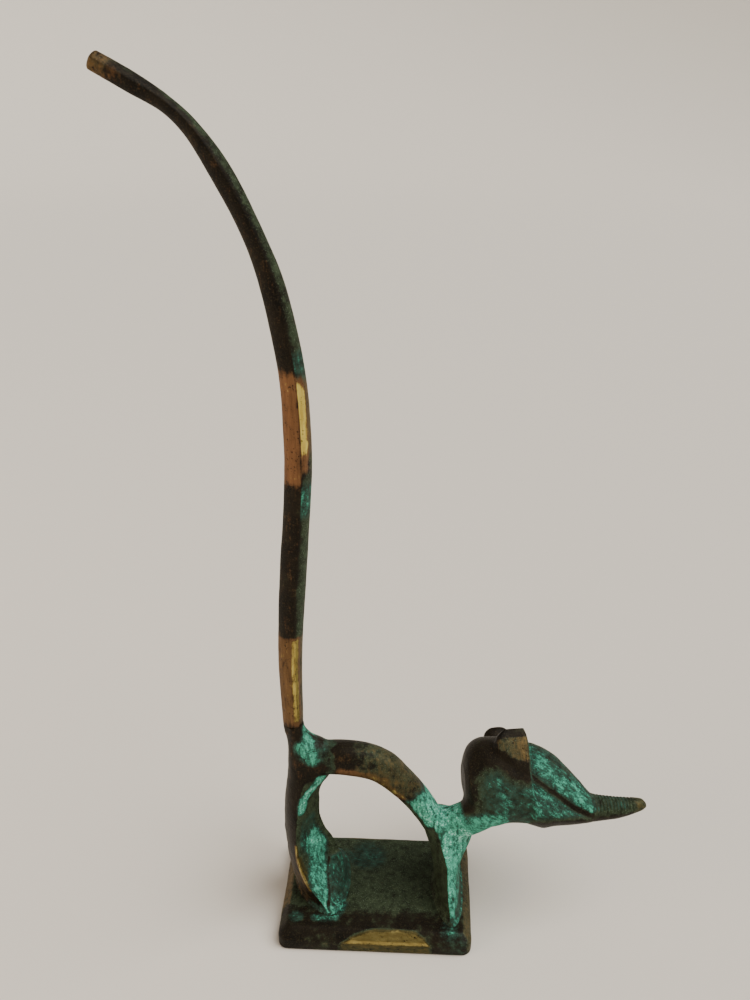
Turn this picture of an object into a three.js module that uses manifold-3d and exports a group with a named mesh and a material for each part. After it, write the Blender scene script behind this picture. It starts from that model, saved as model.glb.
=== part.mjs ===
// Cat figurine: a patinated brass cat with a tall tail, standing on a bevelled plinth.
// Millimetres, +Z up. The origin is the middle of the plinth's underside.
// The cat looks along +X, so its right side is at -Y.

import * as THREE from 'three';
import { mergeVertices } from 'three/addons/utils/BufferGeometryUtils.js';
import Module from 'manifold-3d';

const wasm = await Module();
wasm.setup();

// Plinth
const plinthLength = 40;
const plinthDepth = 29.2;
const plinthHeight = 4.7;
const plinthBevel = 1.8;
const plinthCornerRadius = 2;
const plinthTopCornerRadius = 1.1;

// Where the leg pairs stand, measured in from the ends of the plinth
const hindInset = 8;
const foreInset = 4.5;
const hindPlace = hindInset - plinthLength / 2;
const forePlace = plinthLength / 2 - foreInset;

// Hind legs and rump, from the plinth up to the root of the tail.
// Each row: height over the plinth, rear edge, front edge, side ridge and its spread,
// then the swell of the rear faces and of the front faces (1 is round, 0 flat, below 0 hollow).
const hindRows = [
  [0.0, -5.2, 5.1, 1.9, 8.8, 0.5, 0.9],
  [2.3, -5.8, 5.0, 0.5, 8.5, 0.5, 0.7],
  [4.8, -6.7, 4.7, -1.3, 8.1, 0.4, 0.2],
  [9.1, -7.3, 3.7, -3.3, 7.4, 0.3, -0.4],
  [12.4, -7.5, 2.4, -4.2, 6.7, 0.3, -0.35],
  [15.7, -7.6, 0.75, -4.5, 6.0, 0.3, -0.25],
  [19.5, -7.6, -0.1, -4.4, 5.2, 0.4, -0.05],
  [24.0, -7.3, 0.1, -3.9, 4.45, 0.5, 0.1],
  [26.7, -6.9, 0.8, -3.4, 4.0, 0.6, 0.35],
  [29.3, -6.5, 2.4, -2.9, 3.5, 0.7, 0.6],
  [31.2, -6.3, 2.7, -2.6, 3.15, 0.9, 0.8],
  [35.0, -6.2, 2.7, -2.6, 3.0, 1.0, 0.8],
  [36.9, -6.2, 2.2, -2.9, 2.7, 0.9, 0.8],
  [38.4, -6.4, -0.8, -3.8, 2.5, 0.6, 0.6],
  [41.6, -6.7, -2.8, -4.8, 2.2, 0.5, 0.5],
  [44.0, -6.9, -2.9, -4.9, 2.2, 0.5, 0.5],
];

// Forelegs and shoulder, in rows of the same kind
const foreRows = [
  [0.0, -3.2, 2.1, 0.1, 10.7, 0.6, 1.1],
  [2.3, -3.3, 2.0, -0.2, 10.0, 0.3, 1.1],
  [5.1, -3.4, 2.0, -0.5, 9.1, 0.0, 1.0],
  [8.0, -3.9, 2.0, -0.7, 8.0, -0.2, 0.9],
  [10.4, -4.4, 2.8, -0.85, 7.1, -0.15, 0.7],
  [12.4, -4.95, 4.0, -1.2, 6.3, 0.0, 0.5],
  [14.8, -5.6, 4.5, -2.0, 5.3, 0.1, 0.5],
  [17.6, -6.2, 3.4, -2.6, 4.3, 0.4, 0.8],
  [19.8, -5.8, 0.6, -2.6, 3.0, 0.9, 0.9],
];

// Arched back, from inside the rump to inside the shoulder.
// Each row: place ahead of the hind legs or of the forelegs, height over the plinth,
// half thickness, half depth.
const rearArchRows = [
  [-1.0, 33.3, 3.15, 3.0],
  [6.0, 33.6, 3.4, 3.1],
  [12.2, 32.1, 3.3, 3.0],
];
const frontArchRows = [
  [-10.0, 27.3, 2.8, 2.8],
  [-5.6, 21.2, 2.45, 2.9],
  [-2.0, 14.2, 2.2, 3.2],
];

// Neck, from inside the shoulder to inside the head.
// Each row: place ahead of the forelegs, sideways place, height over the plinth,
// half thickness, half depth.
const neckRows = [
  [-3.0, 0.0, 14.8, 3.0, 3.2],
  [0.5, -0.3, 17.5, 3.3, 3.4],
  [4.5, -1.0, 20.3, 3.3, 3.4],
  [7.5, -1.4, 22.3, 3.0, 3.2],
];

// Tail, from inside the rump to the tip.
// Each row: place ahead of the hind legs, height over the plinth,
// half width seen from the side, half depth.
const tailRows = [
  [-4.75, 39.5, 1.7, 1.9],
  [-4.95, 44.5, 1.95, 2.1],
  [-4.9, 58.0, 2.2, 2.3],
  [-3.9, 74.0, 2.35, 2.35],
  [-2.5, 91.0, 2.25, 2.3],
  [-2.05, 102.0, 2.25, 2.3],
  [-2.7, 115.0, 2.1, 2.2],
  [-5.0, 128.0, 2.0, 2.1],
  [-9.1, 140.0, 1.7, 1.9],
  [-16.2, 153.0, 1.5, 1.7],
  [-23.4, 158.6, 1.35, 1.5],
  [-31.2, 163.6, 1.2, 1.3],
];

// Head. It sits on the end of the neck, turned and tilted: its own x runs to the snout, z to the crown.
const headBehindNeckEnd = 5;
const headLeftOfNeckEnd = 1.4;
const headTurn = 8;
const headTilt = 36;

// Hood and cheeks. Each row: place along the head, top, bottom, half width.
const hoodRows = [
  [0.1, 8.2, 2.2, 2.6],
  [0.8, 10.5, -0.5, 4.3],
  [1.8, 12.1, -3.0, 5.2],
  [3.2, 13.1, -4.3, 5.9],
  [5.5, 13.5, -4.75, 6.6],
  [9.0, 13.3, -4.25, 7.0],
  [12.6, 12.5, -4.6, 6.9],
  [13.5, 5.0, -4.9, 6.7],
  [16.0, 2.9, -5.5, 6.2],
  [19.0, 0.6, -5.3, 5.4],
  [21.8, -1.6, -5.25, 4.5],
  [24.2, -2.9, -5.2, 3.6],
  [26.0, -3.8, -5.1, 2.6],
];

// Face and snout, in rows of the same kind, from inside the hood to the tip
const faceRows = [
  [9.0, 11.3, -3.5, 5.2],
  [14.0, 11.7, -4.4, 5.6],
  [16.4, 11.0, -4.8, 5.4],
  [19.2, 9.3, -5.0, 4.9],
  [22.3, 6.0, -5.1, 4.1],
  [24.2, 3.6, -5.15, 3.6],
  [26.7, 0.65, -5.1, 3.1],
  [28.8, 0.15, -4.95, 2.75],
  [32.4, -0.35, -4.6, 2.4],
  [35.5, -0.75, -4.0, 1.85],
  [37.3, -1.4, -3.5, 1.25],
  [38.2, -2.2, -3.0, 0.5],
];

// Ears. Each row: height on the head, back edge, front edge, inner face, outer face.
const earRows = [
  [5.0, 11.4, 12.6, 5.6, 6.8],
  [8.0, 9.2, 12.8, 4.6, 7.0],
  [11.0, 6.4, 12.9, 3.5, 6.8],
  [13.2, 6.6, 12.7, 3.8, 6.4],
  [14.9, 8.4, 12.3, 4.7, 5.8],
];

// Seams between the castings: how far each lies along its bar, and the gap that it leaves
const tailSeamAlong = 2.2;
const rumpSeamAlong = 4.4;
const shoulderSeamAlong = 25.5;
const neckSeamAlong = 8.2;
const seam = 0.3;

// Dowel pins, ear pegs and foot screws
const pinRadius = 0.8;
const pinLength = 9;
const pegRadius = 0.5;
const pegLength = 3.4;
const pegPlace = 10.2;
const pegAngle = 38;
const pegClearance = 0.15;
const pegEndClearance = 0.3;
const screwRadius = 1.25;
const screwReach = 6;
const screwChamfer = 0.6;
const screwHeadRadius = 2.5;
const screwHeadHeight = 1.4;
const screwSlotWidth = 0.7;
const screwSlotDepth = 0.6;
const screwRecess = 0.5;
const screwClearance = 0.2;

// Roundness of the sections: 2 is an ellipse, less is nearer to a diamond, more to a box
const tailFullness = 1.7;
const barFullness = 2.3;
const hoodFullness = 2.2;
const faceFullness = 2.1;

// Fineness of the surfaces
const pathSteps = 4;
const levelSteps = 2;
const barSides = 16;
const headSides = 20;
const sidesPerFace = 5;
const roundSides = 20;
const cornerSteps = 3;
const mergeDistance = 1e-5;

// A box larger than the cat, used to cut along planes
const cutSize = 2 * (plinthLength + plinthHeight + tailRows.at(-1)[1]);

// Finishes
const darkPatina = new THREE.MeshStandardMaterial({ color: 0x2f2a1c, roughness: 0.55, metalness: 0.7 });
const greenPatina = new THREE.MeshStandardMaterial({ color: 0x4f7a66, roughness: 0.8, metalness: 0.3 });
const rubbedBrass = new THREE.MeshStandardMaterial({ color: 0x9a7a3a, roughness: 0.35, metalness: 1 });
const steel = new THREE.MeshStandardMaterial({ color: 0x8d9094, roughness: 0.35, metalness: 1 });

// Values between the rows of a table, on a smooth curve through every column
function smoothRows(rows, steps, slope) {
  const last = rows.length - 1;
  const result = [];
  for (let i = 0; i <= last * steps; i += 1) {
    const low = Math.min(Math.floor(i / steps), last - 1);
    const part = i / steps - low;
    const earlier = rows[Math.max(low - 1, 0)];
    const from = rows[low];
    const to = rows[low + 1];
    const later = rows[Math.min(low + 2, last)];
    result.push(from.map((value, k) => {
      const rise = to[k] - value;
      return cubic(value, to[k], slope(value - earlier[k], rise), slope(rise, later[k] - to[k]), part);
    }));
  }
  return result;
}

// Cubic between two values with a slope at each
function cubic(from, to, slopeFrom, slopeTo, part) {
  const square = part * part;
  const cube = square * part;
  return from * (2 * cube - 3 * square + 1)
    + slopeFrom * (cube - 2 * square + part)
    + to * (3 * square - 2 * cube)
    + slopeTo * (cube - square);
}

// Slope that keeps a path flowing from one stretch to the next
function flowingSlope(one, other) {
  return (one + other) / 2;
}

// Slope that never swings past the rows, for outlines
function holdingSlope(one, other) {
  return one * other <= 0 ? 0 : (2 * one * other) / (one + other);
}

// Closed skin over a row of equal rings, with a flat cap on each end
function loft(rings) {
  const count = rings[0].length;
  const points = rings.flat();
  const faces = [];
  for (let r = 0; r + 1 < rings.length; r += 1) {
    for (let k = 0; k < count; k += 1) {
      const a = r * count + k;
      const b = r * count + ((k + 1) % count);
      faces.push(a, b, b + count, a, b + count, a + count);
    }
  }
  for (const [ring, start, turn] of [[rings[0], 0, true], [rings.at(-1), points.length - count, false]]) {
    const middle = points.length;
    const centre = new THREE.Vector3();
    ring.forEach((point) => centre.add(point));
    points.push(centre.divideScalar(count));
    for (let k = 0; k < count; k += 1) {
      const a = start + k;
      const b = start + ((k + 1) % count);
      faces.push(...(turn ? [middle, b, a] : [middle, a, b]));
    }
  }
  const geometry = new THREE.BufferGeometry().setFromPoints(points);
  geometry.setIndex(signedVolume(points, faces) < 0 ? faces.reverse() : faces);
  return solid(geometry);
}

function signedVolume(points, faces) {
  let sum = 0;
  for (let i = 0; i < faces.length; i += 3) {
    const [a, b, c] = [faces[i], faces[i + 1], faces[i + 2]].map((index) => points[index]);
    sum += a.dot(b.clone().cross(c));
  }
  return sum;
}

// Geometry to a solid that can be joined and cut
function solid(geometry) {
  const bare = geometry.clone();
  bare.deleteAttribute('normal');
  bare.deleteAttribute('uv');
  const merged = mergeVertices(bare, mergeDistance);
  return new wasm.Manifold(new wasm.Mesh({
    numProp: 3,
    vertProperties: new Float32Array(merged.attributes.position.array),
    triVerts: new Uint32Array(merged.index.array),
  }));
}

// Solid to a named mesh
function mesh(name, body, material) {
  const { vertProperties, triVerts } = body.getMesh();
  const geometry = new THREE.BufferGeometry();
  geometry.setAttribute('position', new THREE.BufferAttribute(new Float32Array(vertProperties), 3));
  geometry.setIndex(new THREE.BufferAttribute(new Uint32Array(triVerts), 1));
  geometry.computeVertexNormals();
  const result = new THREE.Mesh(geometry, material);
  result.name = name;
  return result;
}

// Point of a rounded section about a centre, at an angle from one direction towards the other
function sectionPoint(centre, across, deep, halfAcross, halfDeep, fullness, angle) {
  const c = Math.cos(angle);
  const s = Math.sin(angle);
  const u = Math.sign(c) * Math.abs(c) ** (2 / fullness) * halfAcross;
  const v = Math.sign(s) * Math.abs(s) ** (2 / fullness) * halfDeep;
  return centre.clone().addScaledVector(across, u).addScaledVector(deep, v);
}

function roundSection(centre, across, deep, halfAcross, halfDeep, fullness, sides) {
  return Array.from({ length: sides }, (_, k) => sectionPoint(
    centre, across, deep, halfAcross, halfDeep, fullness, (2 * Math.PI * k) / sides));
}

// Bar along a path of rows [x, y, z, half thickness, half depth]
function bar(path, fullness) {
  const side = new THREE.Vector3(0, 1, 0);
  const rings = path.map(([x, y, z, halfThick, halfDeep], i) => {
    const along = pathDirection(path, i);
    const across = side.clone().cross(along).normalize();
    const deep = along.cross(across).normalize();
    return roundSection(new THREE.Vector3(x, y, z), across, deep, halfThick, halfDeep, fullness, barSides);
  });
  return loft(rings);
}

function pathDirection(path, i) {
  const from = path[Math.max(i - 1, 0)];
  const to = path[Math.min(i + 1, path.length - 1)];
  return new THREE.Vector3(to[0] - from[0], to[1] - from[1], to[2] - from[2]).normalize();
}

// Seam across a bar at a distance along its path: its middle and the direction it faces
function seamOn(path, distance) {
  let left = distance;
  for (let i = 0; i + 1 < path.length; i += 1) {
    const from = new THREE.Vector3(...path[i].slice(0, 3));
    const to = new THREE.Vector3(...path[i + 1].slice(0, 3));
    const stretch = from.distanceTo(to);
    if (left <= stretch) {
      return { point: from.clone().lerp(to, left / stretch), direction: to.sub(from).normalize() };
    }
    left -= stretch;
  }
  const end = path.length - 1;
  return { point: new THREE.Vector3(...path[end].slice(0, 3)), direction: pathDirection(path, end) };
}

// One face of a leg's section, from corner to corner, swelling out or hollow
function faceCurve(from, to, swell) {
  const startsAtRidge = Math.abs(from.y) > Math.abs(to.y);
  const outer = startsAtRidge ? new THREE.Vector2(to.x, from.y) : new THREE.Vector2(from.x, to.y);
  const control = from.clone().lerp(to, 0.5).lerp(outer, swell);
  const points = [];
  for (let k = 0; k < sidesPerFace; k += 1) {
    const t = k / sidesPerFace;
    points.push(new THREE.Vector2(
      (1 - t) ** 2 * from.x + 2 * t * (1 - t) * control.x + t ** 2 * to.x,
      (1 - t) ** 2 * from.y + 2 * t * (1 - t) * control.y + t ** 2 * to.y,
    ));
  }
  return points;
}

// Pair of legs standing on the plinth: level sections with four corners
function legs(rows, place) {
  const levels = smoothRows(rows, levelSteps, holdingSlope);
  const rings = levels.map(([height, rear, front, ridge, spread, rearSwell, frontSwell]) => {
    const back = new THREE.Vector2(place + rear, 0);
    const right = new THREE.Vector2(place + ridge, -spread);
    const fore = new THREE.Vector2(place + front, 0);
    const left = new THREE.Vector2(place + ridge, spread);
    const outline = [
      ...faceCurve(back, right, rearSwell),
      ...faceCurve(right, fore, frontSwell),
      ...faceCurve(fore, left, frontSwell),
      ...faceCurve(left, back, rearSwell),
    ];
    return outline.map((point) => new THREE.Vector3(point.x, point.y, plinthHeight + height));
  });
  return loft(rings);
}

// The head's own directions
const crown = new THREE.Vector3(0, 0, 1);
const leftSide = new THREE.Vector3(0, 1, 0);

// Part of the head: upright sections along the head, a little larger all round by grow
function headForm(rows, fullness, grow) {
  const smooth = smoothRows(rows, levelSteps, holdingSlope);
  const last = smooth.length - 1;
  const rings = smooth.map(([place, top, bottom, half], i) => {
    const shift = i === 0 ? -grow : i === last ? grow : 0;
    const centre = new THREE.Vector3(place + shift, 0, (top + bottom) / 2);
    const halfHeight = (top - bottom) / 2 + grow;
    return roundSection(centre, crown, leftSide, halfHeight, half + grow, fullness, headSides);
  });
  return loft(rings);
}

function headCore(grow) {
  return headForm(hoodRows, hoodFullness, grow).add(headForm(faceRows, faceFullness, grow));
}

function placed(body, matrix) {
  return body.transform(matrix.elements);
}

// Half space on the side of a plane that its direction points to, starting at a distance from it
function beyond(point, direction, distance) {
  const middle = point.clone().addScaledVector(direction, distance + cutSize / 2);
  const turn = new THREE.Quaternion().setFromUnitVectors(new THREE.Vector3(0, 0, 1), direction);
  const matrix = new THREE.Matrix4().compose(middle, turn, new THREE.Vector3(1, 1, 1));
  return placed(solid(new THREE.BoxGeometry(cutSize, cutSize, cutSize)), matrix);
}

// Round rod centred on a point, along a direction
function rod(point, direction, radius, length) {
  const turn = new THREE.Quaternion().setFromUnitVectors(new THREE.Vector3(0, 1, 0), direction);
  const matrix = new THREE.Matrix4().compose(point, turn, new THREE.Vector3(1, 1, 1));
  return placed(solid(new THREE.CylinderGeometry(radius, radius, length, roundSides)), matrix);
}

// Paths of the bars, with rows moved to their place on the plinth
function levelPath(rows, place) {
  return rows.map(([x, z, half, deep]) => [place + x, 0, plinthHeight + z, half, deep]);
}

const tailPath = smoothRows(levelPath(tailRows, hindPlace), pathSteps, flowingSlope);
const archPath = smoothRows(
  [...levelPath(rearArchRows, hindPlace), ...levelPath(frontArchRows, forePlace)], pathSteps, flowingSlope);
const neckPath = smoothRows(
  neckRows.map(([x, y, z, half, deep]) => [forePlace + x, y, plinthHeight + z, half, deep]),
  pathSteps, flowingSlope);

// Matrix from the head's own directions to the figurine's
const [neckEndX, neckEndY, neckEndZ] = neckPath.at(-1);
const headMatrix = new THREE.Matrix4()
  .makeTranslation(neckEndX - headBehindNeckEnd, neckEndY + headLeftOfNeckEnd, neckEndZ)
  .multiply(new THREE.Matrix4().makeRotationZ(THREE.MathUtils.degToRad(headTurn)))
  .multiply(new THREE.Matrix4().makeRotationX(-THREE.MathUtils.degToRad(headTilt)));

const tailJoint = seamOn(tailPath, tailSeamAlong);
const rumpJoint = seamOn(archPath, rumpSeamAlong);
const shoulderJoint = seamOn(archPath, shoulderSeamAlong);
const neckJoint = seamOn(neckPath, neckSeamAlong);

function after({ point, direction }) {
  return beyond(point, direction, seam / 2);
}

function before({ point, direction }) {
  return beyond(point, direction.clone().negate(), seam / 2);
}

function pin({ point, direction }) {
  return rod(point, direction, pinRadius, pinLength);
}

function pinHole({ point, direction }) {
  return rod(point, direction, pinRadius + pegClearance, pinLength + 2 * pegEndClearance);
}

// Plinth: a rounded rectangle that leans in at the bevel, drilled for the foot screws
function roundedRectangle(length, depth, radius, height) {
  const shape = new THREE.Shape();
  const x = length / 2 - radius;
  const y = depth / 2 - radius;
  shape.absarc(x, y, radius, 0, Math.PI / 2);
  shape.absarc(-x, y, radius, Math.PI / 2, Math.PI);
  shape.absarc(-x, -y, radius, Math.PI, 1.5 * Math.PI);
  shape.absarc(x, -y, radius, 1.5 * Math.PI, 2 * Math.PI);
  return shape.getPoints(cornerSteps).map((point) => new THREE.Vector3(point.x, point.y, height));
}

function screwProfile(extra) {
  const headTop = screwRecess + screwHeadHeight + extra;
  const tip = plinthHeight + screwReach + extra;
  const base = extra > 0 ? -extra : screwRecess;
  return [
    new THREE.Vector2(0, base),
    new THREE.Vector2(screwHeadRadius + extra, base),
    new THREE.Vector2(screwHeadRadius + extra, headTop),
    new THREE.Vector2(screwRadius + extra, headTop),
    new THREE.Vector2(screwRadius + extra, tip - screwChamfer),
    new THREE.Vector2(screwRadius - screwChamfer + extra, tip),
    new THREE.Vector2(0, tip),
  ];
}

function screwForm(place, extra) {
  const turned = new THREE.LatheGeometry(screwProfile(extra), roundSides);
  turned.rotateX(Math.PI / 2);
  turned.translate(place, 0, 0);
  return solid(turned);
}

function footScrew(place) {
  const slot = new THREE.BoxGeometry(cutSize, screwSlotWidth, 2 * screwSlotDepth);
  slot.translate(place, 0, screwRecess);
  return screwForm(place, 0).subtract(solid(slot));
}

function screwHole(place) {
  return screwForm(place, screwClearance);
}

function plinth() {
  const side = plinthHeight - plinthBevel;
  const body = loft([
    roundedRectangle(plinthLength, plinthDepth, plinthCornerRadius, 0),
    roundedRectangle(plinthLength, plinthDepth, plinthCornerRadius, side),
    roundedRectangle(
      plinthLength - 2 * plinthBevel, plinthDepth - 2 * plinthBevel, plinthTopCornerRadius, plinthHeight),
  ]);
  return body.subtract(screwHole(hindPlace)).subtract(screwHole(forePlace));
}

// The cat's body as it looks joined up; the seams then part it into castings
const tailBar = bar(tailPath, tailFullness);
const archBar = bar(archPath, barFullness);
const neckBar = bar(neckPath, barFullness);
const hindForm = legs(hindRows, hindPlace);
const foreForm = legs(foreRows, forePlace);

function tail() {
  return tailBar.intersect(after(tailJoint)).subtract(pinHole(tailJoint));
}

function hindquarter() {
  return hindForm.add(tailBar)
    .intersect(before(tailJoint))
    .add(archBar.intersect(before(rumpJoint)))
    .subtract(pinHole(tailJoint))
    .subtract(pinHole(rumpJoint))
    .subtract(screwHole(hindPlace));
}

function backArch() {
  return archBar
    .intersect(after(rumpJoint))
    .intersect(before(shoulderJoint))
    .subtract(pinHole(rumpJoint))
    .subtract(pinHole(shoulderJoint));
}

function forequarter() {
  return foreForm.add(archBar).add(neckBar)
    .intersect(after(shoulderJoint))
    .intersect(before(neckJoint))
    .subtract(pinHole(shoulderJoint))
    .subtract(pinHole(neckJoint))
    .subtract(screwHole(forePlace));
}

// Ears: wedges on the hood, each on a peg that stands square on the hood
function earForm() {
  const rings = earRows.map(([height, back, front, inner, outer]) => [
    new THREE.Vector3(back, -inner, height),
    new THREE.Vector3(back, -outer, height),
    new THREE.Vector3(front, -outer, height),
    new THREE.Vector3(front, -inner, height),
  ]);
  return loft(rings);
}

// Where the peg leaves the hood, on the right side, and the direction it stands in
function hoodPoint(place, angle) {
  const rows = smoothRows(hoodRows, levelSteps, holdingSlope);
  const next = rows.findIndex((row) => row[0] > place);
  const part = (place - rows[next - 1][0]) / (rows[next][0] - rows[next - 1][0]);
  const [, top, bottom, half] = rows[next - 1].map((value, k) => value + (rows[next][k] - value) * part);
  const centre = new THREE.Vector3(place, 0, (top + bottom) / 2);
  return sectionPoint(centre, crown, leftSide, (top - bottom) / 2, half, hoodFullness, angle);
}

const pegTurn = -THREE.MathUtils.degToRad(pegAngle);
const pegPoint = hoodPoint(pegPlace, pegTurn);
const pegDirection = new THREE.Vector3(0, Math.sin(pegTurn), Math.cos(pegTurn));

function earPeg() {
  return rod(pegPoint, pegDirection, pegRadius, pegLength);
}

function earPegHole() {
  return rod(pegPoint, pegDirection, pegRadius + pegClearance, pegLength + 2 * pegEndClearance);
}

const mirror = new THREE.Matrix4().makeScale(1, -1, 1);
const rightEar = earForm().subtract(headCore(seam)).subtract(earPegHole());

function head() {
  const core = headCore(0).subtract(earPegHole()).subtract(placed(earPegHole(), mirror));
  return placed(core, headMatrix).add(neckBar)
    .intersect(after(neckJoint))
    .subtract(pinHole(neckJoint));
}

const figurine = new THREE.Group();
figurine.name = 'cat_figurine';
figurine.add(
  mesh('base_plinth', plinth(), darkPatina),
  mesh('hindquarter', hindquarter(), darkPatina),
  mesh('back_arch', backArch(), darkPatina),
  mesh('forequarter', forequarter(), greenPatina),
  mesh('head', head(), greenPatina),
  mesh('right_ear', placed(rightEar, headMatrix), rubbedBrass),
  mesh('left_ear', placed(placed(rightEar, mirror), headMatrix), rubbedBrass),
  mesh('tail', tail(), darkPatina),
  mesh('tail_pin', pin(tailJoint), steel),
  mesh('rump_pin', pin(rumpJoint), steel),
  mesh('shoulder_pin', pin(shoulderJoint), steel),
  mesh('neck_pin', pin(neckJoint), steel),
  mesh('right_ear_peg', placed(earPeg(), headMatrix), rubbedBrass),
  mesh('left_ear_peg', placed(placed(earPeg(), mirror), headMatrix), rubbedBrass),
  mesh('hind_foot_screw', footScrew(hindPlace), steel),
  mesh('fore_foot_screw', footScrew(forePlace), steel),
);

export default figurine;
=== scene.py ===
# %% [markdown]
# Cat figurine in patinated brass.
# The real cat was modelled in wax, cast in brass in a few pieces, darkened, and rubbed bright in places.
# This lesson follows the same order: shape the wax, melt it together, part it into castings, then
# give the metal its patina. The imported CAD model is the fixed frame: every place is measured in it.

# %% Load the fixed frame
import math

import bmesh
import bpy
import numpy as np
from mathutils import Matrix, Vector


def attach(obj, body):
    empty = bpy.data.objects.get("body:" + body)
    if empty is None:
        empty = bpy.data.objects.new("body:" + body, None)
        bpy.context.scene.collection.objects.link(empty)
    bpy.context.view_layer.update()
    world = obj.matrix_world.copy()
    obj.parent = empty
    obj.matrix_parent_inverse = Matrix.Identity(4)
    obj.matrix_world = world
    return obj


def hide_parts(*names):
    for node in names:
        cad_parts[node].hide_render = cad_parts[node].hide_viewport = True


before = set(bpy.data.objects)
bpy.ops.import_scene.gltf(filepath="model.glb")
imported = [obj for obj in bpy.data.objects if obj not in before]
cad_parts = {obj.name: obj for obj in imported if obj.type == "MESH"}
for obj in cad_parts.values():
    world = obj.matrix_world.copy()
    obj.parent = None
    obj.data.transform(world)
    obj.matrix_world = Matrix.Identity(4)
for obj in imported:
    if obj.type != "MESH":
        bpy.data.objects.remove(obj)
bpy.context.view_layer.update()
MM = 0.001

# %% [markdown]
# The pins that hold the castings together are hidden, but they say where the seams are: a pin's
# middle lies on its seam, and its length stands square on it. The widest spread of its vertices,
# found by singular values, is the direction of that length.


# %% Read seams and screws from the frame
def read_rows(items, name, width, kind=float):
    """One property of all vertices, edges or faces of a mesh, as rows of this many numbers."""
    flat = np.empty(width * len(items), kind)
    items.foreach_get(name, flat)
    return flat.reshape(-1, width)


def node_points(node):
    """Vertices of a CAD node as rows of x, y, z in millimetres."""
    return read_rows(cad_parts[node].data.vertices, "co", 3) / MM


def axis_of(node):
    """Middle of a pin's box along its own axis, and the axis: the direction in which it is longest."""
    points = node_points(node)
    centre = points.mean(axis=0)
    direction = np.linalg.svd(points - centre, full_matrices=False)[2][0]
    along = (points - centre) @ direction
    return centre + direction * (along.min() + along.max()) / 2, direction


tail_seam = axis_of("tail_pin")
rump_seam = axis_of("rump_pin")
shoulder_seam = axis_of("shoulder_pin")
neck_seam = axis_of("neck_pin")
right_ear_seat = axis_of("right_ear_peg")
left_ear_seat = axis_of("left_ear_peg")
hind_place = axis_of("hind_foot_screw")[0][0]
fore_place = axis_of("fore_foot_screw")[0][0]
plinth_top = node_points("base_plinth")[:, 2].max()
print("legs stand at", round(hind_place, 2), round(fore_place, 2), "on", round(plinth_top, 2), "mm")

# %% [markdown]
# Most of the cat is a row of sections. A table gives a few of them in millimetres, and a cubic
# curve runs through each column, so that a short table gives a smooth form at any fineness.
# A subdivision surface would do it too, but it would shrink away from the sizes in the table.


# %% Curves through a table
def smooth_rows(rows, count, hold=False):
    """Cubic curve through the rows of a table, read at count places.

    Between two rows each column is a Hermite cubic. Its slope at a row is the mean of the steps before
    and after it or, with hold, their harmonic mean, which never swings past the rows."""
    table = np.asarray(rows, float)
    step = np.diff(table, axis=0)
    still = np.zeros((1, table.shape[1]))
    before = np.vstack([still, step])
    after = np.vstack([step, still])
    slope = (before + after) / 2
    if hold:
        same_way = before * after > 0
        slope = np.where(same_way, 2 * before * after / np.where(same_way, before + after, 1), 0)
    place = np.linspace(0, len(table) - 1, count)
    low = np.minimum(place.astype(int), len(table) - 2)
    t = (place - low)[:, None]
    return (
        table[low] * (2 * t**3 - 3 * t**2 + 1)
        + slope[low] * (t**3 - 2 * t**2 + t)
        + table[low + 1] * (3 * t**2 - 2 * t**3)
        + slope[low + 1] * (t**3 - t**2)
    )


def read_table(rows, place, index=1):
    """One column of a table at places in its first column, in straight lines from row to row."""
    table = np.asarray(rows, float)
    return np.interp(place, table[:, 0], table[:, index])


def oval(angle, fullness):
    """Unit outline |u|^p + |v|^p = 1: p is 2 for a circle, less for a diamond, more for a box."""
    cos, sin = np.cos(angle), np.sin(angle)
    return np.sign(cos) * np.abs(cos) ** (2 / fullness), np.sign(sin) * np.abs(sin) ** (2 / fullness)


def turn(count):
    """Equal angles once round, without the last that would repeat the first."""
    return np.linspace(0, 2 * np.pi, count, endpoint=False)


# %% [markdown]
# The back and the neck are bars: an oval profile carried along a path. The tail is a bar too, but
# its profile is near to a diamond, with a ridge that faces the side, twisted a little to the front.
# The back is fuller below than above, which leaves a firm edge along the belly.

# %% Bars of wax
# Rows: place ahead of the hind legs or the forelegs, height over the plinth, half thickness, half depth
REAR_ARCH_ROWS = [(-1.0, 33.3, 3.15, 3.0), (6.0, 33.6, 3.4, 3.1), (12.2, 32.1, 3.3, 3.0)]
FRONT_ARCH_ROWS = [(-10.0, 27.3, 2.8, 2.8), (-5.6, 21.2, 2.45, 2.9), (-2.0, 14.2, 2.2, 3.2)]
TAIL_ROWS = [
    (-4.75, 39.5, 1.9, 1.95),
    (-4.95, 44.5, 2.1, 2.15),
    (-4.9, 58.0, 2.35, 2.35),
    (-3.9, 74.0, 2.55, 2.4),
    (-2.5, 91.0, 2.5, 2.35),
    (-2.05, 102.0, 2.5, 2.35),
    (-2.7, 115.0, 2.35, 2.25),
    (-5.0, 128.0, 2.15, 2.1),
    (-7.2, 135.2, 1.85, 1.95),
    (-9.8, 141.4, 1.8, 1.9),
    (-12.9, 147.5, 1.8, 1.85),
    (-16.7, 153.3, 1.45, 1.7),
    (-20.6, 157.1, 1.3, 1.6),
    (-25.7, 160.2, 1.58, 1.5),
    (-31.6, 163.5, 1.55, 1.4),
]
# The neck's rows have a place to the side too, as their second value
NECK_ROWS = [
    (-3.0, 0.0, 14.8, 3.0, 3.2),
    (0.5, -0.3, 17.5, 3.3, 3.4),
    (4.5, -1.0, 20.3, 3.3, 3.4),
    (7.5, -1.4, 22.3, 3.0, 3.2),
]
BAR_FULLNESS = 2.4
BELLY_FULLNESS = 3.0
TAIL_FULLNESS = 1.5
TAIL_TWIST = math.radians(18)
# Sections along each bar, and points round a section
TAIL_STEPS = 900
ARCH_STEPS = 160
NECK_STEPS = 60
BAR_AROUND = 64


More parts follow.
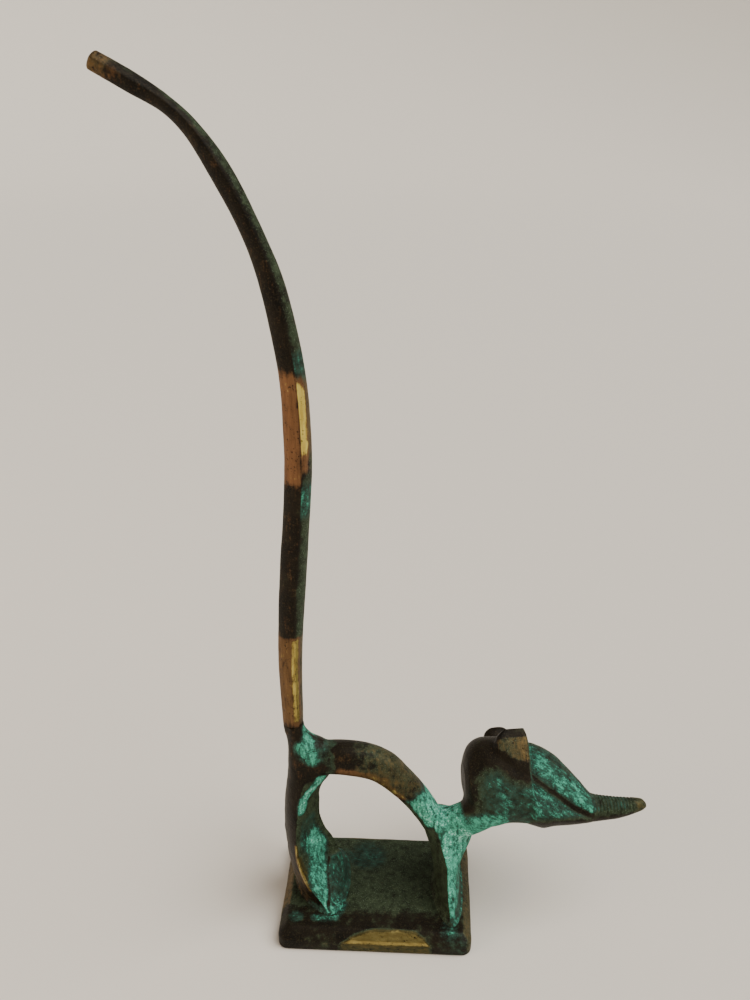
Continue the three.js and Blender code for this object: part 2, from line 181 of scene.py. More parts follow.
def level_rows(rows, place):
    """Rows of a bar in the middle plane, as x, y, z, half thickness, half depth."""
    return [(place + x, 0.0, plinth_top + z, half, deep) for x, z, half, deep in rows]


def bar_rings(path, fullness, around, twist=0.0):
    """Ovals carried along a path, each square on it, with its depth axis near to y, then twisted."""
    along = np.gradient(path[:, :3], axis=0)
    across = np.cross([0.0, 1.0, 0.0], along)
    across /= np.linalg.norm(across, axis=1, keepdims=True)
    deep = np.cross(along, across)
    deep /= np.linalg.norm(deep, axis=1, keepdims=True)
    u, v = oval(turn(around), fullness)
    u, v = path[:, 3, None] * u, path[:, 4, None] * v
    u, v = u * math.cos(twist) - v * math.sin(twist), u * math.sin(twist) + v * math.cos(twist)
    return path[:, None, :3] + across[:, None] * u[..., None] + deep[:, None] * v[..., None]


arch_rows = level_rows(REAR_ARCH_ROWS, hind_place) + level_rows(FRONT_ARCH_ROWS, fore_place)
neck_rows = [(fore_place + x, y, plinth_top + z, half, deep) for x, y, z, half, deep in NECK_ROWS]
tail_path = smooth_rows(level_rows(TAIL_ROWS, hind_place), TAIL_STEPS)
below = np.cos(turn(BAR_AROUND)) > 0
arch_fullness = np.where(below, BELLY_FULLNESS, BAR_FULLNESS)
arch_rings = bar_rings(smooth_rows(arch_rows, ARCH_STEPS), arch_fullness, BAR_AROUND)
neck_rings = bar_rings(smooth_rows(neck_rows, NECK_STEPS), BAR_FULLNESS, BAR_AROUND)
print("bars:", tail_path.shape[0], arch_rings.shape, neck_rings.shape)

# %% [markdown]
# Each pair of legs is one flared fin. Its level section has four corners, a rear edge, a front edge
# and a ridge on each side, and its faces are curves between them that swell out or lie hollow.

# %% Legs of wax
# Rows: height over the plinth, rear edge, front edge, ridge, its spread, swell of rear and of front faces
HIND_ROWS = [
    (0.0, -5.2, 5.1, 1.9, 8.8, 0.5, 0.9),
    (2.3, -5.8, 5.0, 0.5, 8.5, 0.5, 0.7),
    (4.8, -6.7, 4.7, -1.3, 8.1, 0.4, 0.2),
    (9.1, -7.3, 3.7, -3.3, 7.4, 0.3, -0.4),
    (12.4, -7.5, 2.4, -4.2, 6.7, 0.3, -0.35),
    (15.7, -7.6, 0.75, -4.5, 6.0, 0.3, -0.25),
    (19.5, -7.6, -0.1, -4.4, 5.2, 0.4, -0.05),
    (24.0, -7.3, 0.1, -3.9, 4.45, 0.5, 0.1),
    (26.7, -6.9, 0.8, -3.4, 4.0, 0.6, 0.35),
    (29.3, -6.5, 2.4, -2.9, 3.5, 0.7, 0.6),
    (31.2, -6.3, 2.7, -2.6, 3.15, 0.9, 0.8),
    (35.0, -6.2, 2.7, -2.6, 3.0, 1.0, 0.8),
    (36.9, -6.2, 2.2, -2.9, 2.7, 0.9, 0.8),
    (38.4, -6.4, -0.8, -3.8, 2.5, 0.6, 0.6),
    (41.6, -6.7, -2.8, -4.8, 2.2, 0.5, 0.5),
    (44.0, -6.9, -2.9, -4.9, 2.2, 0.5, 0.5),
]
FORE_ROWS = [
    (0.0, -3.2, 2.1, 0.1, 10.7, 0.6, 1.1),
    (2.3, -3.3, 2.0, -0.2, 10.0, 0.3, 1.1),
    (5.1, -3.4, 2.0, -0.5, 9.1, 0.0, 1.0),
    (8.0, -3.9, 2.0, -0.7, 8.0, -0.2, 0.9),
    (10.4, -4.4, 2.8, -0.85, 7.1, -0.15, 0.7),
    (12.4, -4.95, 4.0, -1.2, 6.3, 0.0, 0.5),
    (14.8, -5.6, 4.5, -2.0, 5.3, 0.1, 0.5),
    (17.6, -6.2, 3.4, -2.6, 4.3, 0.4, 0.8),
    (19.8, -5.8, 0.6, -2.6, 3.0, 0.9, 0.9),
]
# The wax runs on below the plinth's top, where it is cut off level later
FOOT_SPARE = 1.2
FOOT_FLARE = 0.8
FLARE_HEIGHT = 1.6
# Levels up a leg, and points along each of its faces
HIND_FINENESS = (260, 22)
FORE_FINENESS = (140, 26)


def face_curve(start, end, outer, swell, t):
    """One face of a section: a quadratic curve whose middle is pulled to the outer corner by swell."""
    pull = (start + end) / 2 + swell[:, None] * (outer - (start + end) / 2)
    start, pull, end = start[:, None], pull[:, None], end[:, None]
    t = t[None, :, None]
    return (1 - t) ** 2 * start + 2 * t * (1 - t) * pull + t**2 * end


def leg_rings(rows, place, levels, per_face):
    """Level sections with four corners, joined by four face curves, and a small flare at the foot."""
    table = smooth_rows([(-FOOT_SPARE, *rows[0][1:]), *rows], levels, hold=True)
    height, rear, front, ridge, spread, rear_swell, front_swell = table.T
    flare = FOOT_FLARE * np.clip(1 - height / FLARE_HEIGHT, 0, 1) ** 2
    still = np.zeros(levels)
    rear, front, spread = rear - flare, front + flare, spread + flare
    back = np.stack([rear, still], axis=1)
    fore = np.stack([front, still], axis=1)
    right = np.stack([ridge, -spread], axis=1)
    left = np.stack([ridge, spread], axis=1)
    t = np.linspace(0, 1, per_face, endpoint=False)
    outline = np.concatenate([
        face_curve(back, right, np.stack([rear, -spread], axis=1), rear_swell, t),
        face_curve(right, fore, np.stack([front, -spread], axis=1), front_swell, t),
        face_curve(fore, left, np.stack([front, spread], axis=1), front_swell, t),
        face_curve(left, back, np.stack([rear, spread], axis=1), rear_swell, t),
    ], axis=1)
    level = np.broadcast_to((plinth_top + height)[:, None, None], (*outline.shape[:2], 1))
    return np.concatenate([outline + [place, 0.0], level], axis=2)


hind_rings = leg_rings(HIND_ROWS, hind_place, *HIND_FINENESS)
fore_rings = leg_rings(FORE_ROWS, fore_place, *FORE_FINENESS)
print("legs:", hind_rings.shape, fore_rings.shape)

# %% [markdown]
# The head has its own directions, x to the snout and z to the crown, and sits on the neck turned and
# tilted away. A hood with cheeks and a narrower face are two forms of upright ovals: where one ends
# on the other, they leave the edge of the hood and the crease along the cheek.

# %% Head and ears of wax
HEAD_AT = np.array([18.0, 0.0, 27.0])
HEAD_TURN = math.radians(8)
HEAD_TILT = math.radians(36)
# Rows: place along the head, top, bottom, half width
HOOD_ROWS = [
    (0.1, 8.2, 2.2, 2.6),
    (0.8, 10.5, -0.5, 4.3),
    (1.8, 12.1, -3.0, 5.2),
    (3.2, 13.1, -4.3, 5.9),
    (5.5, 13.5, -4.75, 6.6),
    (9.0, 13.3, -4.25, 7.0),
    (12.6, 12.5, -4.6, 6.9),
    (13.5, 5.0, -4.9, 6.7),
    (16.0, 2.9, -5.5, 6.2),
    (19.0, 0.6, -5.3, 5.4),
    (21.8, -1.6, -5.25, 4.5),
    (24.2, -2.9, -5.2, 3.6),
    (26.0, -3.8, -5.1, 2.6),
]
FACE_ROWS = [
    (9.0, 11.3, -3.5, 5.2),
    (14.0, 11.7, -4.4, 5.6),
    (16.4, 11.0, -4.8, 5.4),
    (19.2, 9.3, -5.0, 4.9),
    (22.3, 6.0, -5.1, 4.1),
    (24.2, 3.6, -5.15, 3.6),
    (26.7, 0.65, -5.1, 3.1),
    (28.8, 0.15, -4.95, 2.75),
    (32.4, -0.35, -4.6, 2.4),
    (35.5, -0.6, -4.0, 1.85),
    (37.4, -0.95, -3.45, 1.35),
    (38.3, -1.9, -2.9, 0.55),
]
# Rows: height on the head, back edge, front edge, inner face, outer face
RIGHT_EAR_ROWS = [
    (5.0, 11.4, 12.8, 5.6, 6.8),
    (8.0, 9.2, 13.15, 4.6, 7.0),
    (11.0, 6.4, 13.25, 3.5, 6.8),
    (13.2, 6.6, 13.0, 3.8, 6.4),
    (14.9, 8.4, 12.4, 4.7, 5.8),
]
LEFT_EAR_ROWS = [
    (5.0, 11.4, 12.8, 5.6, 6.8),
    (8.0, 9.0, 13.0, 4.6, 7.0),
    (11.0, 6.2, 12.6, 3.3, 6.9),
    (13.4, 5.6, 12.0, 3.4, 6.4),
    (15.3, 7.0, 10.8, 4.4, 5.6),
]
HOOD_FULLNESS = 2.2
FACE_FULLNESS = 2.1
RIGHT_EAR_FULLNESS = 6.0
LEFT_EAR_FULLNESS = 2.2
# Sections along a form, and points round a section
HEAD_FINENESS = (200, 96)
EAR_FINENESS = (60, 64)

cos_turn, sin_turn = math.cos(HEAD_TURN), math.sin(HEAD_TURN)
cos_tilt, sin_tilt = math.cos(HEAD_TILT), math.sin(HEAD_TILT)
head_turned = np.array([[cos_turn, -sin_turn, 0], [sin_turn, cos_turn, 0], [0, 0, 1]])
head_tilted = np.array([[1, 0, 0], [0, cos_tilt, sin_tilt], [0, -sin_tilt, cos_tilt]])
head_axes = head_turned @ head_tilted


def from_head(points):
    """Points in the head's own directions, moved to the figurine's: first tilted, then turned, then set."""
    return points @ head_axes.T + HEAD_AT


def to_head(points):
    """The way back: points of the figurine in the head's own directions."""
    return (points - HEAD_AT) @ head_axes


def head_rings(rows, fullness):
    """Upright ovals along the head, between a top line and a bottom line, with a half width."""
    count, around = HEAD_FINENESS
    along, top, bottom, half = smooth_rows(rows, count, hold=True).T
    u, v = oval(turn(around), fullness)
    up = (top + bottom)[:, None] / 2 + (top - bottom)[:, None] / 2 * u
    side = half[:, None] * v
    return from_head(np.stack([np.broadcast_to(along[:, None], up.shape), side, up], axis=2))


def ear_rings(rows, side, fullness):
    """Ovals stacked up from the hood: back and front edge, inner and outer face, side is -1 or 1."""
    count, around = EAR_FINENESS
    height, back, front, inner, outer = smooth_rows(rows, count, hold=True).T
    u, v = oval(turn(around), fullness)
    along = (back + front)[:, None] / 2 + (front - back)[:, None] / 2 * u
    out = side * ((inner + outer)[:, None] / 2 + (outer - inner)[:, None] / 2 * v)
    return from_head(np.stack([along, out, np.broadcast_to(height[:, None], along.shape)], axis=2))


hood_rings = head_rings(HOOD_ROWS, HOOD_FULLNESS)
face_rings = head_rings(FACE_ROWS, FACE_FULLNESS)
print("head:", hood_rings.shape, face_rings.shape)

# %% [markdown]
# Now the wax is melted together. The Remesh modifier fills the overlapping forms with voxels and
# draws one skin round them all, as a founder joins wax bars with a warm iron. A boolean union would
# leave sharp seams; this skin can be smoothed. The work is done in millimetres.

# %% Melt the wax into one skin
VOXEL = 0.15
TAIL_STUB_STEPS = 70


def ring_quads(count, around):
    """Point numbers ring by ring, the same numbers one point on, and the quads between the rings."""
    index = np.arange(count * around).reshape(count, around)
    beside = np.roll(index, -1, axis=1)
    quads = np.stack([index[:-1], beside[:-1], beside[1:], index[1:]], axis=2)
    return index, beside, quads.reshape(-1, 4)


def closed_skin(rings):
    """Points and faces of a form: quads between its rings, and a fan of triangles over each end."""
    index, beside, quads = ring_quads(*rings.shape[:2])
    first = np.full(rings.shape[1], index.size)
    start = np.stack([first, beside[0], index[0]], axis=1)
    end = np.stack([first + 1, index[-1], beside[-1]], axis=1)
    middles = rings[[0, -1]].mean(axis=1)
    return np.vstack([rings.reshape(-1, 3), middles]), quads.tolist() + start.tolist() + end.tolist()


def new_object(name, data):
    """A new object in the scene, with this mesh, lamp or camera."""
    made = bpy.data.objects.new(name, data)
    bpy.context.scene.collection.objects.link(made)
    return made


def melt(skins, voxel):
    """One skin round several closed ones, drawn on a grid of voxels, as a new mesh in millimetres."""
    points, faces, count = [], [], 0
    for skin_points, skin_faces in skins:
        points.append(skin_points)
        faces += [[index + count for index in face] for face in skin_faces]
        count += len(skin_points)
    mesh = bpy.data.meshes.new("wax")
    mesh.from_pydata(np.vstack(points).tolist(), [], faces)
    form = new_object("wax", mesh)
    remesh = form.modifiers.new("melt", "REMESH")
    remesh.mode = "VOXEL"
    remesh.voxel_size = voxel
    ready = form.evaluated_get(bpy.context.evaluated_depsgraph_get())
    melted = bpy.data.meshes.new_from_object(ready)
    bpy.data.objects.remove(form)
    return melted


tail_stub = bar_rings(tail_path[:TAIL_STUB_STEPS], TAIL_FULLNESS, BAR_AROUND, TAIL_TWIST)
ears = [ear_rings(RIGHT_EAR_ROWS, -1, RIGHT_EAR_FULLNESS), ear_rings(LEFT_EAR_ROWS, 1, LEFT_EAR_FULLNESS)]
forms = [hind_rings, tail_stub, arch_rings, fore_rings, neck_rings, hood_rings, face_rings, *ears]
wax = melt([closed_skin(rings) for rings in forms], VOXEL)
print("wax:", len(wax.vertices), "vertices")

# %% [markdown]
# A skin drawn on voxels has tiny steps. Moving each vertex towards the mean of its neighbours and
# then a little further back takes the steps away and keeps the size. Near the joints the skin is
# moved towards the mean many times. Only what moves outwards there is kept, as a hand fills a corner
# with wax: the corners become fillets and the bars keep their thickness.


# %% Smooth the skin and round the joints
def mesh_points(mesh):
    """Vertices of a mesh as rows of x, y, z."""
    return read_rows(mesh.vertices, "co", 3)


def mesh_normals(mesh):
    """Vertex normals of a mesh as rows of x, y, z."""
    return read_rows(mesh.vertices, "normal", 3)


def mesh_edges(mesh):
    """Edges of a mesh as pairs of vertex numbers."""
    return read_rows(mesh.edges, "vertices", 2, np.int32)


def neighbour_mean(values, edges):
    """For each vertex, the mean of the values at the other ends of its edges."""
    ends = np.concatenate([edges[:, 0], edges[:, 1]])
    others = np.concatenate([edges[:, 1], edges[:, 0]])
    size = len(values)
    degree = np.bincount(ends, minlength=size)
    columns = [np.bincount(ends, weights=column[others], minlength=size) / degree for column in values.T]
    return np.stack(columns, axis=1)


def relax(points, edges, share, rounds):
    """Moves points towards the mean of their neighbours, by a share of the way, several times."""
    for _ in range(rounds):
        points = points + share * (neighbour_mean(points, edges) - points)
    return points


def relax_near(points, edges, share, rounds):
    """The same where the share is over zero, with only the edges there, which saves most of the work."""
    chosen, local = np.unique(edges[(share > 0)[edges].any(axis=1)], return_inverse=True)
    moved = points.copy()
    moved[chosen] = relax(points[chosen], local.reshape(-1, 2), share[chosen, None], rounds)
    return moved


def rise(value, low, high):
    """0 below low, 1 above high, and a smooth S between: 3t^2 - 2t^3."""
    t = np.clip((value - low) / (high - low), 0, 1)
    return t * t * (3 - 2 * t)


def near(points, centre, radius, fade):
    """1 within a radius of a centre, falling to 0 over the fade."""
    return 1 - rise(np.linalg.norm(points - np.asarray(centre), axis=1), radius, radius + fade)


def move_points(mesh, points):
    """Gives a mesh new places for its vertices."""
    mesh.vertices.foreach_set("co", points.ravel())
    mesh.update()


SHARE = 0.5
SHARE_BACK = -0.52
STEP_ROUNDS = 4
EAR_ROOT = (8.9, 6.2, 9.0)
EAR_ROUNDS = 80
FAR_EAR_ROUNDS = 60
FILL_ROUNDS = 400
BLEND_ROUNDS = 30
# Joints to fill, in two goes: place along x, y and z, radius, fade
JOINTS = [
    [
        (hind_place - 3.0, 0.0, plinth_top + 38.5, 2.5, 3.0),
        (hind_place + 2.5, 0.0, plinth_top + 29.5, 4.0, 4.0),
        (fore_place - 1.0, 0.0, plinth_top + 17.5, 4.5, 3.5),
        (fore_place + 5.5, -1.0, plinth_top + 21.0, 3.5, 3.0),
    ],
    [(fore_place - 0.5, 0.0, plinth_top + 21.5, 2.5, 4.0)],
]

edges = mesh_edges(wax)
points = mesh_points(wax)
for _ in range(STEP_ROUNDS):
    points = relax(points, edges, SHARE, 1)
    points = relax(points, edges, SHARE_BACK, 1)
head_x, head_y, head_z = to_head(points).T
ear_root = near(np.stack([head_x, np.abs(head_y), head_z], axis=1), EAR_ROOT, 3.0, 2.2)
ear_root *= 1 - rise(head_x, 11.4, 12.2) * rise(head_z, 7.0, 8.0)
far_ear = rise(head_y, 2.0, 3.0) * rise(head_z, 11.8, 12.6)
near_ear_inside = rise(head_z, 11.5, 12.5) * rise(head_y, -5.7, -4.9)
points = relax_near(points, edges, SHARE * np.maximum(ear_root, near_ear_inside), EAR_ROUNDS)
points = relax_near(points, edges, SHARE * far_ear, FAR_EAR_ROUNDS)
move_points(wax, points)
for joints in JOINTS:
    share = SHARE * np.maximum.reduce([near(points, joint[:3], *joint[3:]) for joint in joints])
    softened = relax_near(points, edges, share, FILL_ROUNDS)
    normals = mesh_normals(wax)
    fill = np.maximum(((softened - points) * normals).sum(axis=1), 0)
    points = relax_near(points + normals * fill[:, None], edges, share, BLEND_ROUNDS)
    move_points(wax, points)
    print("joints filled by up to", round(float(fill.max()), 2), "mm")

# %% [markdown]
# Carving. Before it was cast, the wax was worked with a tool: fine grooves across the snout, a
# crease along each cheek, a hollow for each eye, a chin, and a flat pad at each hind foot. All of
# these move the vertices along their normals, by a depth that is a function of the place.

# %% Carve the wax
GROOVE_PITCH = 0.72
GROOVE_DEPTH = 0.2
GROOVE_FROM = 27.0
GROOVE_TO = 35.6
CREASE_DEPTH = 0.06
CREASE_HALF = 0.7
CREASE_LIFT = 0.25
EYE_AT = (14.8, 8.4)
EYE_DEPTH = 0.4
EYE_HALF_LENGTH = 1.7
EYE_HALF_WIDTH = 0.75
EYE_SLANT = 0.7
CHIN_AT = (16.0, 0.0, -5.2)
CHIN_SIZE = (1.0, 2.4, 1.5)
CHIN_RISE = 0.12
PAD_RISE = 0.3
PAD_PRESSED = 0.25
# The edge of the pad at a hind foot: distance from the middle plane, height
PAD_EDGE = [(0.0, 13.4), (1.4, 13.0), (2.0, 12.2), (4.75, 9.5), (7.7, 6.9), (9.2, 5.0)]


def past(points, seam):
    """Distance past a seam, towards the head."""
    middle, direction = seam
    return (points - middle) @ (direction * np.sign(direction[0]))


def crease_height(head_x):
    """Height of the crease along the cheek, just over the top of the hood's lower part."""
    return read_table(HOOD_ROWS, head_x) + CREASE_LIFT


def groove_share(head_x):
    """1 in the middle of a groove across the snout, 0 on the ridge between two."""
    return (0.5 + 0.5 * np.cos(2 * np.pi * (head_x - GROOVE_FROM) / GROOVE_PITCH)) ** 2


def over_pad(points):
    """Height above the edge of the pad at the hind foot."""
    return points[:, 2] - read_table(PAD_EDGE, np.abs(points[:, 1]))


points = mesh_points(wax)
normals = mesh_normals(wax)
head_points = to_head(points)
head_x, head_y, head_z = head_points.T
head_side = np.abs(head_y)
on_head = rise(past(points, neck_seam), 0.0, 1.0)

on_snout = rise(head_x, GROOVE_FROM, GROOVE_FROM + 0.5) * (1 - rise(head_x, GROOVE_TO - 0.5, GROOVE_TO))
on_snout *= rise(head_z, -4.2, -2.8)
depth = -GROOVE_DEPTH * groove_share(head_x) * on_snout
on_crease = rise(head_x, 13.2, 14.2) * (1 - rise(head_x, 24.0, 26.5)) * rise(head_side, 1.5, 2.5)
depth -= CREASE_DEPTH * np.exp(-(((head_z - crease_height(head_x)) / CREASE_HALF) ** 2)) * on_crease
from_eye = (head_x - EYE_AT[0]) * EYE_SLANT
over_eye = (head_z - EYE_AT[1]) * EYE_SLANT
eye_along = (from_eye - over_eye) / EYE_HALF_LENGTH
eye_across = (from_eye + over_eye) / EYE_HALF_WIDTH
on_eye = np.exp(-(eye_along**2) - eye_across**2) * rise(head_side, 1.0, 2.5)
depth -= EYE_DEPTH * on_eye * on_head
chin = np.exp(-(np.linalg.norm((head_points - CHIN_AT) / CHIN_SIZE, axis=1) ** 2))
depth += CHIN_RISE * chin * on_head
on_front = rise(normals[:, 0], 0.1, 0.35) * (1 - rise(points[:, 0], -2.0, 0.0))
on_pad = (1 - rise(over_pad(points), -0.5, 0.25)) * on_front
pressed = np.exp(-(((over_pad(points) - 0.6) / 1.2) ** 2)) * on_front * (1 - on_pad)
depth += PAD_RISE * (on_pad - PAD_PRESSED * pressed)
points = points + normals * depth[:, None]
print("carved up to", round(float(np.abs(depth).max()), 2), "mm deep")

# %% [markdown]
# A hand-made casting is never quite even. Slow waves of a tenth of a millimetre, made from a grid of
# random numbers with smooth steps between them, take away the look of a machined part.

# %% Unevenness of the casting
NOISE_CELLS = 32
WAVE_DEPTH = 0.12
WAVE_SIZE = 5.0
DENT_DEPTH = 0.04
DENT_SIZE = 1.5


def soft_noise(points, size, seed):
    """Smooth random value from -1 to 1 at each point: corners of a grid, blended by S curves."""
    table = np.random.default_rng(seed).uniform(-1, 1, [NOISE_CELLS] * 3)
    cell = np.floor(points / size).astype(int)
    t = points / size - cell
    t = t * t * (3 - 2 * t)
    total = np.zeros(len(points))
    for corner in np.ndindex(2, 2, 2):
        weight = np.prod(np.where(corner, t, 1 - t), axis=1)
        total += weight * table[tuple(((cell + corner) % NOISE_CELLS).T)]
    return total


def unevenness(points):
    """Depth of the casting's slow waves and small dents at each point, in millimetres."""
    waves = WAVE_DEPTH * soft_noise(points, WAVE_SIZE, seed=1)
    return waves + DENT_DEPTH * soft_noise(points, DENT_SIZE, seed=2)


move_points(wax, points + normals * unevenness(points)[:, None])
points = mesh_points(wax)
normals = mesh_normals(wax)
print("wax is uneven by up to", WAVE_DEPTH + DENT_DEPTH, "mm")

# %% [markdown]
# The patina. Three numbers at each vertex say what is left on the metal: how much verdigris crust,
# how much thin green film, and how much rubbing. The material breaks their edges up with fine noise,
# so that here it is enough to say where each of them lies. Every place is a number from 0 to 1, and
# the factor before it says how much lies there: 1 covers the metal. A place squeezed along the brush
# strokes goes with them: noise that is read there comes out as streaks.


# %% Patina of the body
def between(value, low, high, fade):
    """1 from low to high, falling to 0 over the fade outside."""
    return rise(value, low - fade, low) * (1 - rise(value, high, high + fade))


def brushed(points, direction, squeeze=0.2):
    """Places squeezed along the direction of the brush strokes."""
    direction = np.asarray(direction) / np.linalg.norm(direction)
    return points - (1 - squeeze) * (points @ direction)[:, None] * direction


def near_line(points, line, radius, fade):
    """1 within a radius of a line through several points, falling to 0 over the fade."""
    line = np.asarray(line)
    gap = np.full(len(points), np.inf)
    for start, end in zip(line[:-1], line[1:]):
        along = end - start
        share = np.clip((points - start) @ along / (along @ along), 0, 1)
        gap = np.minimum(gap, np.linalg.norm(points - start - share[:, None] * along, axis=1))
    return 1 - rise(gap, radius, radius + fade)


# Verdigris on the front of the hind leg: height, then where it begins and ends on the way from the
# ridge (0) to the middle (1)
BAND_ROWS = [
    (0.0, -0.2, 0.0),
    (2.2, -0.1, 0.12),
    (4.8, 0.0, 0.42),
    (6.9, 0.09, 0.68),
    (9.8, 0.42, 0.82),
    (12.0, 0.48, 0.85),
    (14.0, 0.54, 0.87),
    (16.4, 0.8, 0.9),
]
# Lines on one hind leg, mirrored to the other: rubbed rim, rubbed patch behind it, pale streak on the thigh
RIM = [(-16.5, 6.1, 19.4), (-16.3, 6.5, 16.5), (-15.7, 7.1, 14.3), (-14.9, 7.4, 11.9), (-13.7, 7.9, 9.8)]
PATCH = [(-15.8, 6.7, 16.0), (-15.2, 6.9, 13.8), (-14.5, 7.2, 11.8)]
THIGH = [(-11.4, 2.3, 34.3), (-13.3, 2.7, 31.7), (-14.8, 3.5, 29.8), (-15.3, 3.8, 27.2)]
# Crust at the root of the tail, mirrored too, and the bluest spot, at the throat
ROOT_STREAK = [(-14.6, 0.2, 45.6), (-14.3, 1.0, 44.2), (-13.7, 1.6, 43.0)]
ROOT_CRUST = [(-15.3, 2.6, 42.0), (-14.4, 2.7, 41.5), (-13.4, 2.8, 40.4), (-12.8, 2.9, 39.2)]
THROAT_SPOT = (17.8, -3.9, 22.4)
RAGGED_SIZE = 1.8


def body_patina(points, normals):
    """Verdigris, film, rubbing and brush place on the body, from places in millimetres and from normals."""
    x, y, z = points.T
    side = np.abs(y)
    mirrored = np.column_stack([x, side, z])
    height = z - plinth_top
    ragged = soft_noise(points, RAGGED_SIZE, seed=4)
    hind = 1 - rise(x, -6.0, -4.0)
    front_face = rise(normals[:, 0], 0.0, 0.3) * hind * (1 - rise(height, 28.0, 31.0))
    inward = 1 - side / read_table(HIND_ROWS, height, 4)
    begins = read_table(BAND_ROWS, height, 1)
    ends = read_table(BAND_ROWS, height, 2)
    band = rise(inward - begins, -0.25, 0.15) * (1 - rise(inward - ends, -0.08, 0.14))
    band *= (1 - rise(height, 13.0, 17.5)) * np.where(y > 0, 0.4 * rise(inward, 0.2, 0.35), 1.0)
    pad = (1 - rise(over_pad(points), -0.4, 0.3)) * front_face
    thigh = between(height, 13.0, 19.0, 2.5) * between(inward, 0.3, 0.75, 0.2)
    foot = between(height, 0.0, 0.8, 1.2) * rise(side, 5.0, 7.0) * hind * np.where(y > 0, 0.3, 1.0)
    root = 0.58 * near_line(mirrored, ROOT_STREAK, 0.2, 1.6)
    root += 0.54 * near_line(mirrored, ROOT_CRUST, 0.2, 2.0)
    root += 0.3 * near(mirrored, (hind_place - 1.7, 2.4, plinth_top + 36.8), 2.0, 2.5)
    past_rump = x + 1.2 * ragged - rump_seam[0][0]
    seam_line = between(past_rump, -1.4, -0.4, 1.3) * rise(height, 28.0, 30.0)
    toward_head = past(points, shoulder_seam) - 0.8 * (normals[:, 0] + normals[:, 2]) + 1.3 * ragged
    fore = rise(toward_head, -6.0, 1.0) * (1 - hind)
    rear_face = rise(-0.85 * normals[:, 0] - 0.5 * normals[:, 2], 0.05, 0.35)
    # Faces that turn to the right low on the foreleg: partly thinner crust, partly painted shade on that
    # side
    right_face_thin_crust_and_shade = rise(normals[:, 0], 0.7, 0.95) * (1 - rise(height, 13.0, 17.0))
    arch = rise(x, hind_place + 2.0, hind_place + 6.0) * (1 - rise(toward_head, -5.0, -1.5))
    belly = between(normals[:, 2], -0.95, -0.12, 0.12)
    patch = near_line(mirrored, PATCH, 0.7, 0.8) * front_face
    rim = near_line(mirrored, RIM, 0.2, 0.5)
    leg_back = hind * rise(-normals[:, 0], 0.3, 0.8) * (1 - rise(height, 5.0, 15.0))

    verdigris = front_face * (band * (0.74 - 0.08 * rise(height, 8.0, 11.0)) + 0.4 * thigh) * (1 - pad)
    verdigris += 0.38 * pad + 0.24 * seam_line
    verdigris += 1.1 * near_line(mirrored, THIGH, 0.5, 1.2) + 0.4 * foot * (1 - 0.7 * pad) + root
    fore_crust = 0.5 + 0.45 * rise(height, 0.5, 4.0) + 0.15 * rise(height, 10.0, 15.0)
    # Less crust on the faces turned to the right, partly as painted shade
    verdigris += fore * fore_crust * (1 - 0.85 * rear_face) * (1 - 0.4 * right_face_thin_crust_and_shade)
    verdigris += 0.6 * near(points, THROAT_SPOT, 0.8, 1.8)

    film = np.maximum.reduce([
        np.full(len(points), 0.15),
        front_face,
        fore * (1 - 0.3 * rear_face),
        0.7 * root,
        0.7 * seam_line,
        arch * (0.3 + 0.45 * rise(x, -6.5, 0.5)),
        0.85 * rim,
        0.5 * leg_back,
    ])

    bare = arch * (0.03 + 0.25 * rise(x, -6.5, 3.0) + 0.48 * belly)
    bare += 0.1 * hind * rise(-normals[:, 1], 0.3, 0.8) * rise(height, 28.0, 34.0)
    bare += 0.75 * rim + 0.45 * patch + 0.24 * leg_back
    return np.column_stack([verdigris, film, bare, brushed(points, (0, 0, 1))])


# %% [markdown]
# The head is darkest on the hood. The cheeks and the face are green, streaked along the slope of the
# face, with a brown crease between them; the snout is dull, and the ears are rubbed on the outside.

# %% Patina of the head
# Lower limit of the dark hood, then lower and upper limit of the ear's bright patch: place, height
HOOD_LIMIT = [(1.3, 7.4), (6.2, 7.6), (7.6, 6.2), (8.9, 5.2), (10.4, 4.4), (12.1, 4.0)]
PATCH_LOW = [(6.5, 11.5), (8.0, 10.4), (9.3, 9.4), (10.9, 8.7), (13.5, 8.2)]
PATCH_TOP = [(6.5, 12.7), (8.3, 13.2), (13.5, 13.3)]
STROKES = (0.755, 0.0, -0.656)


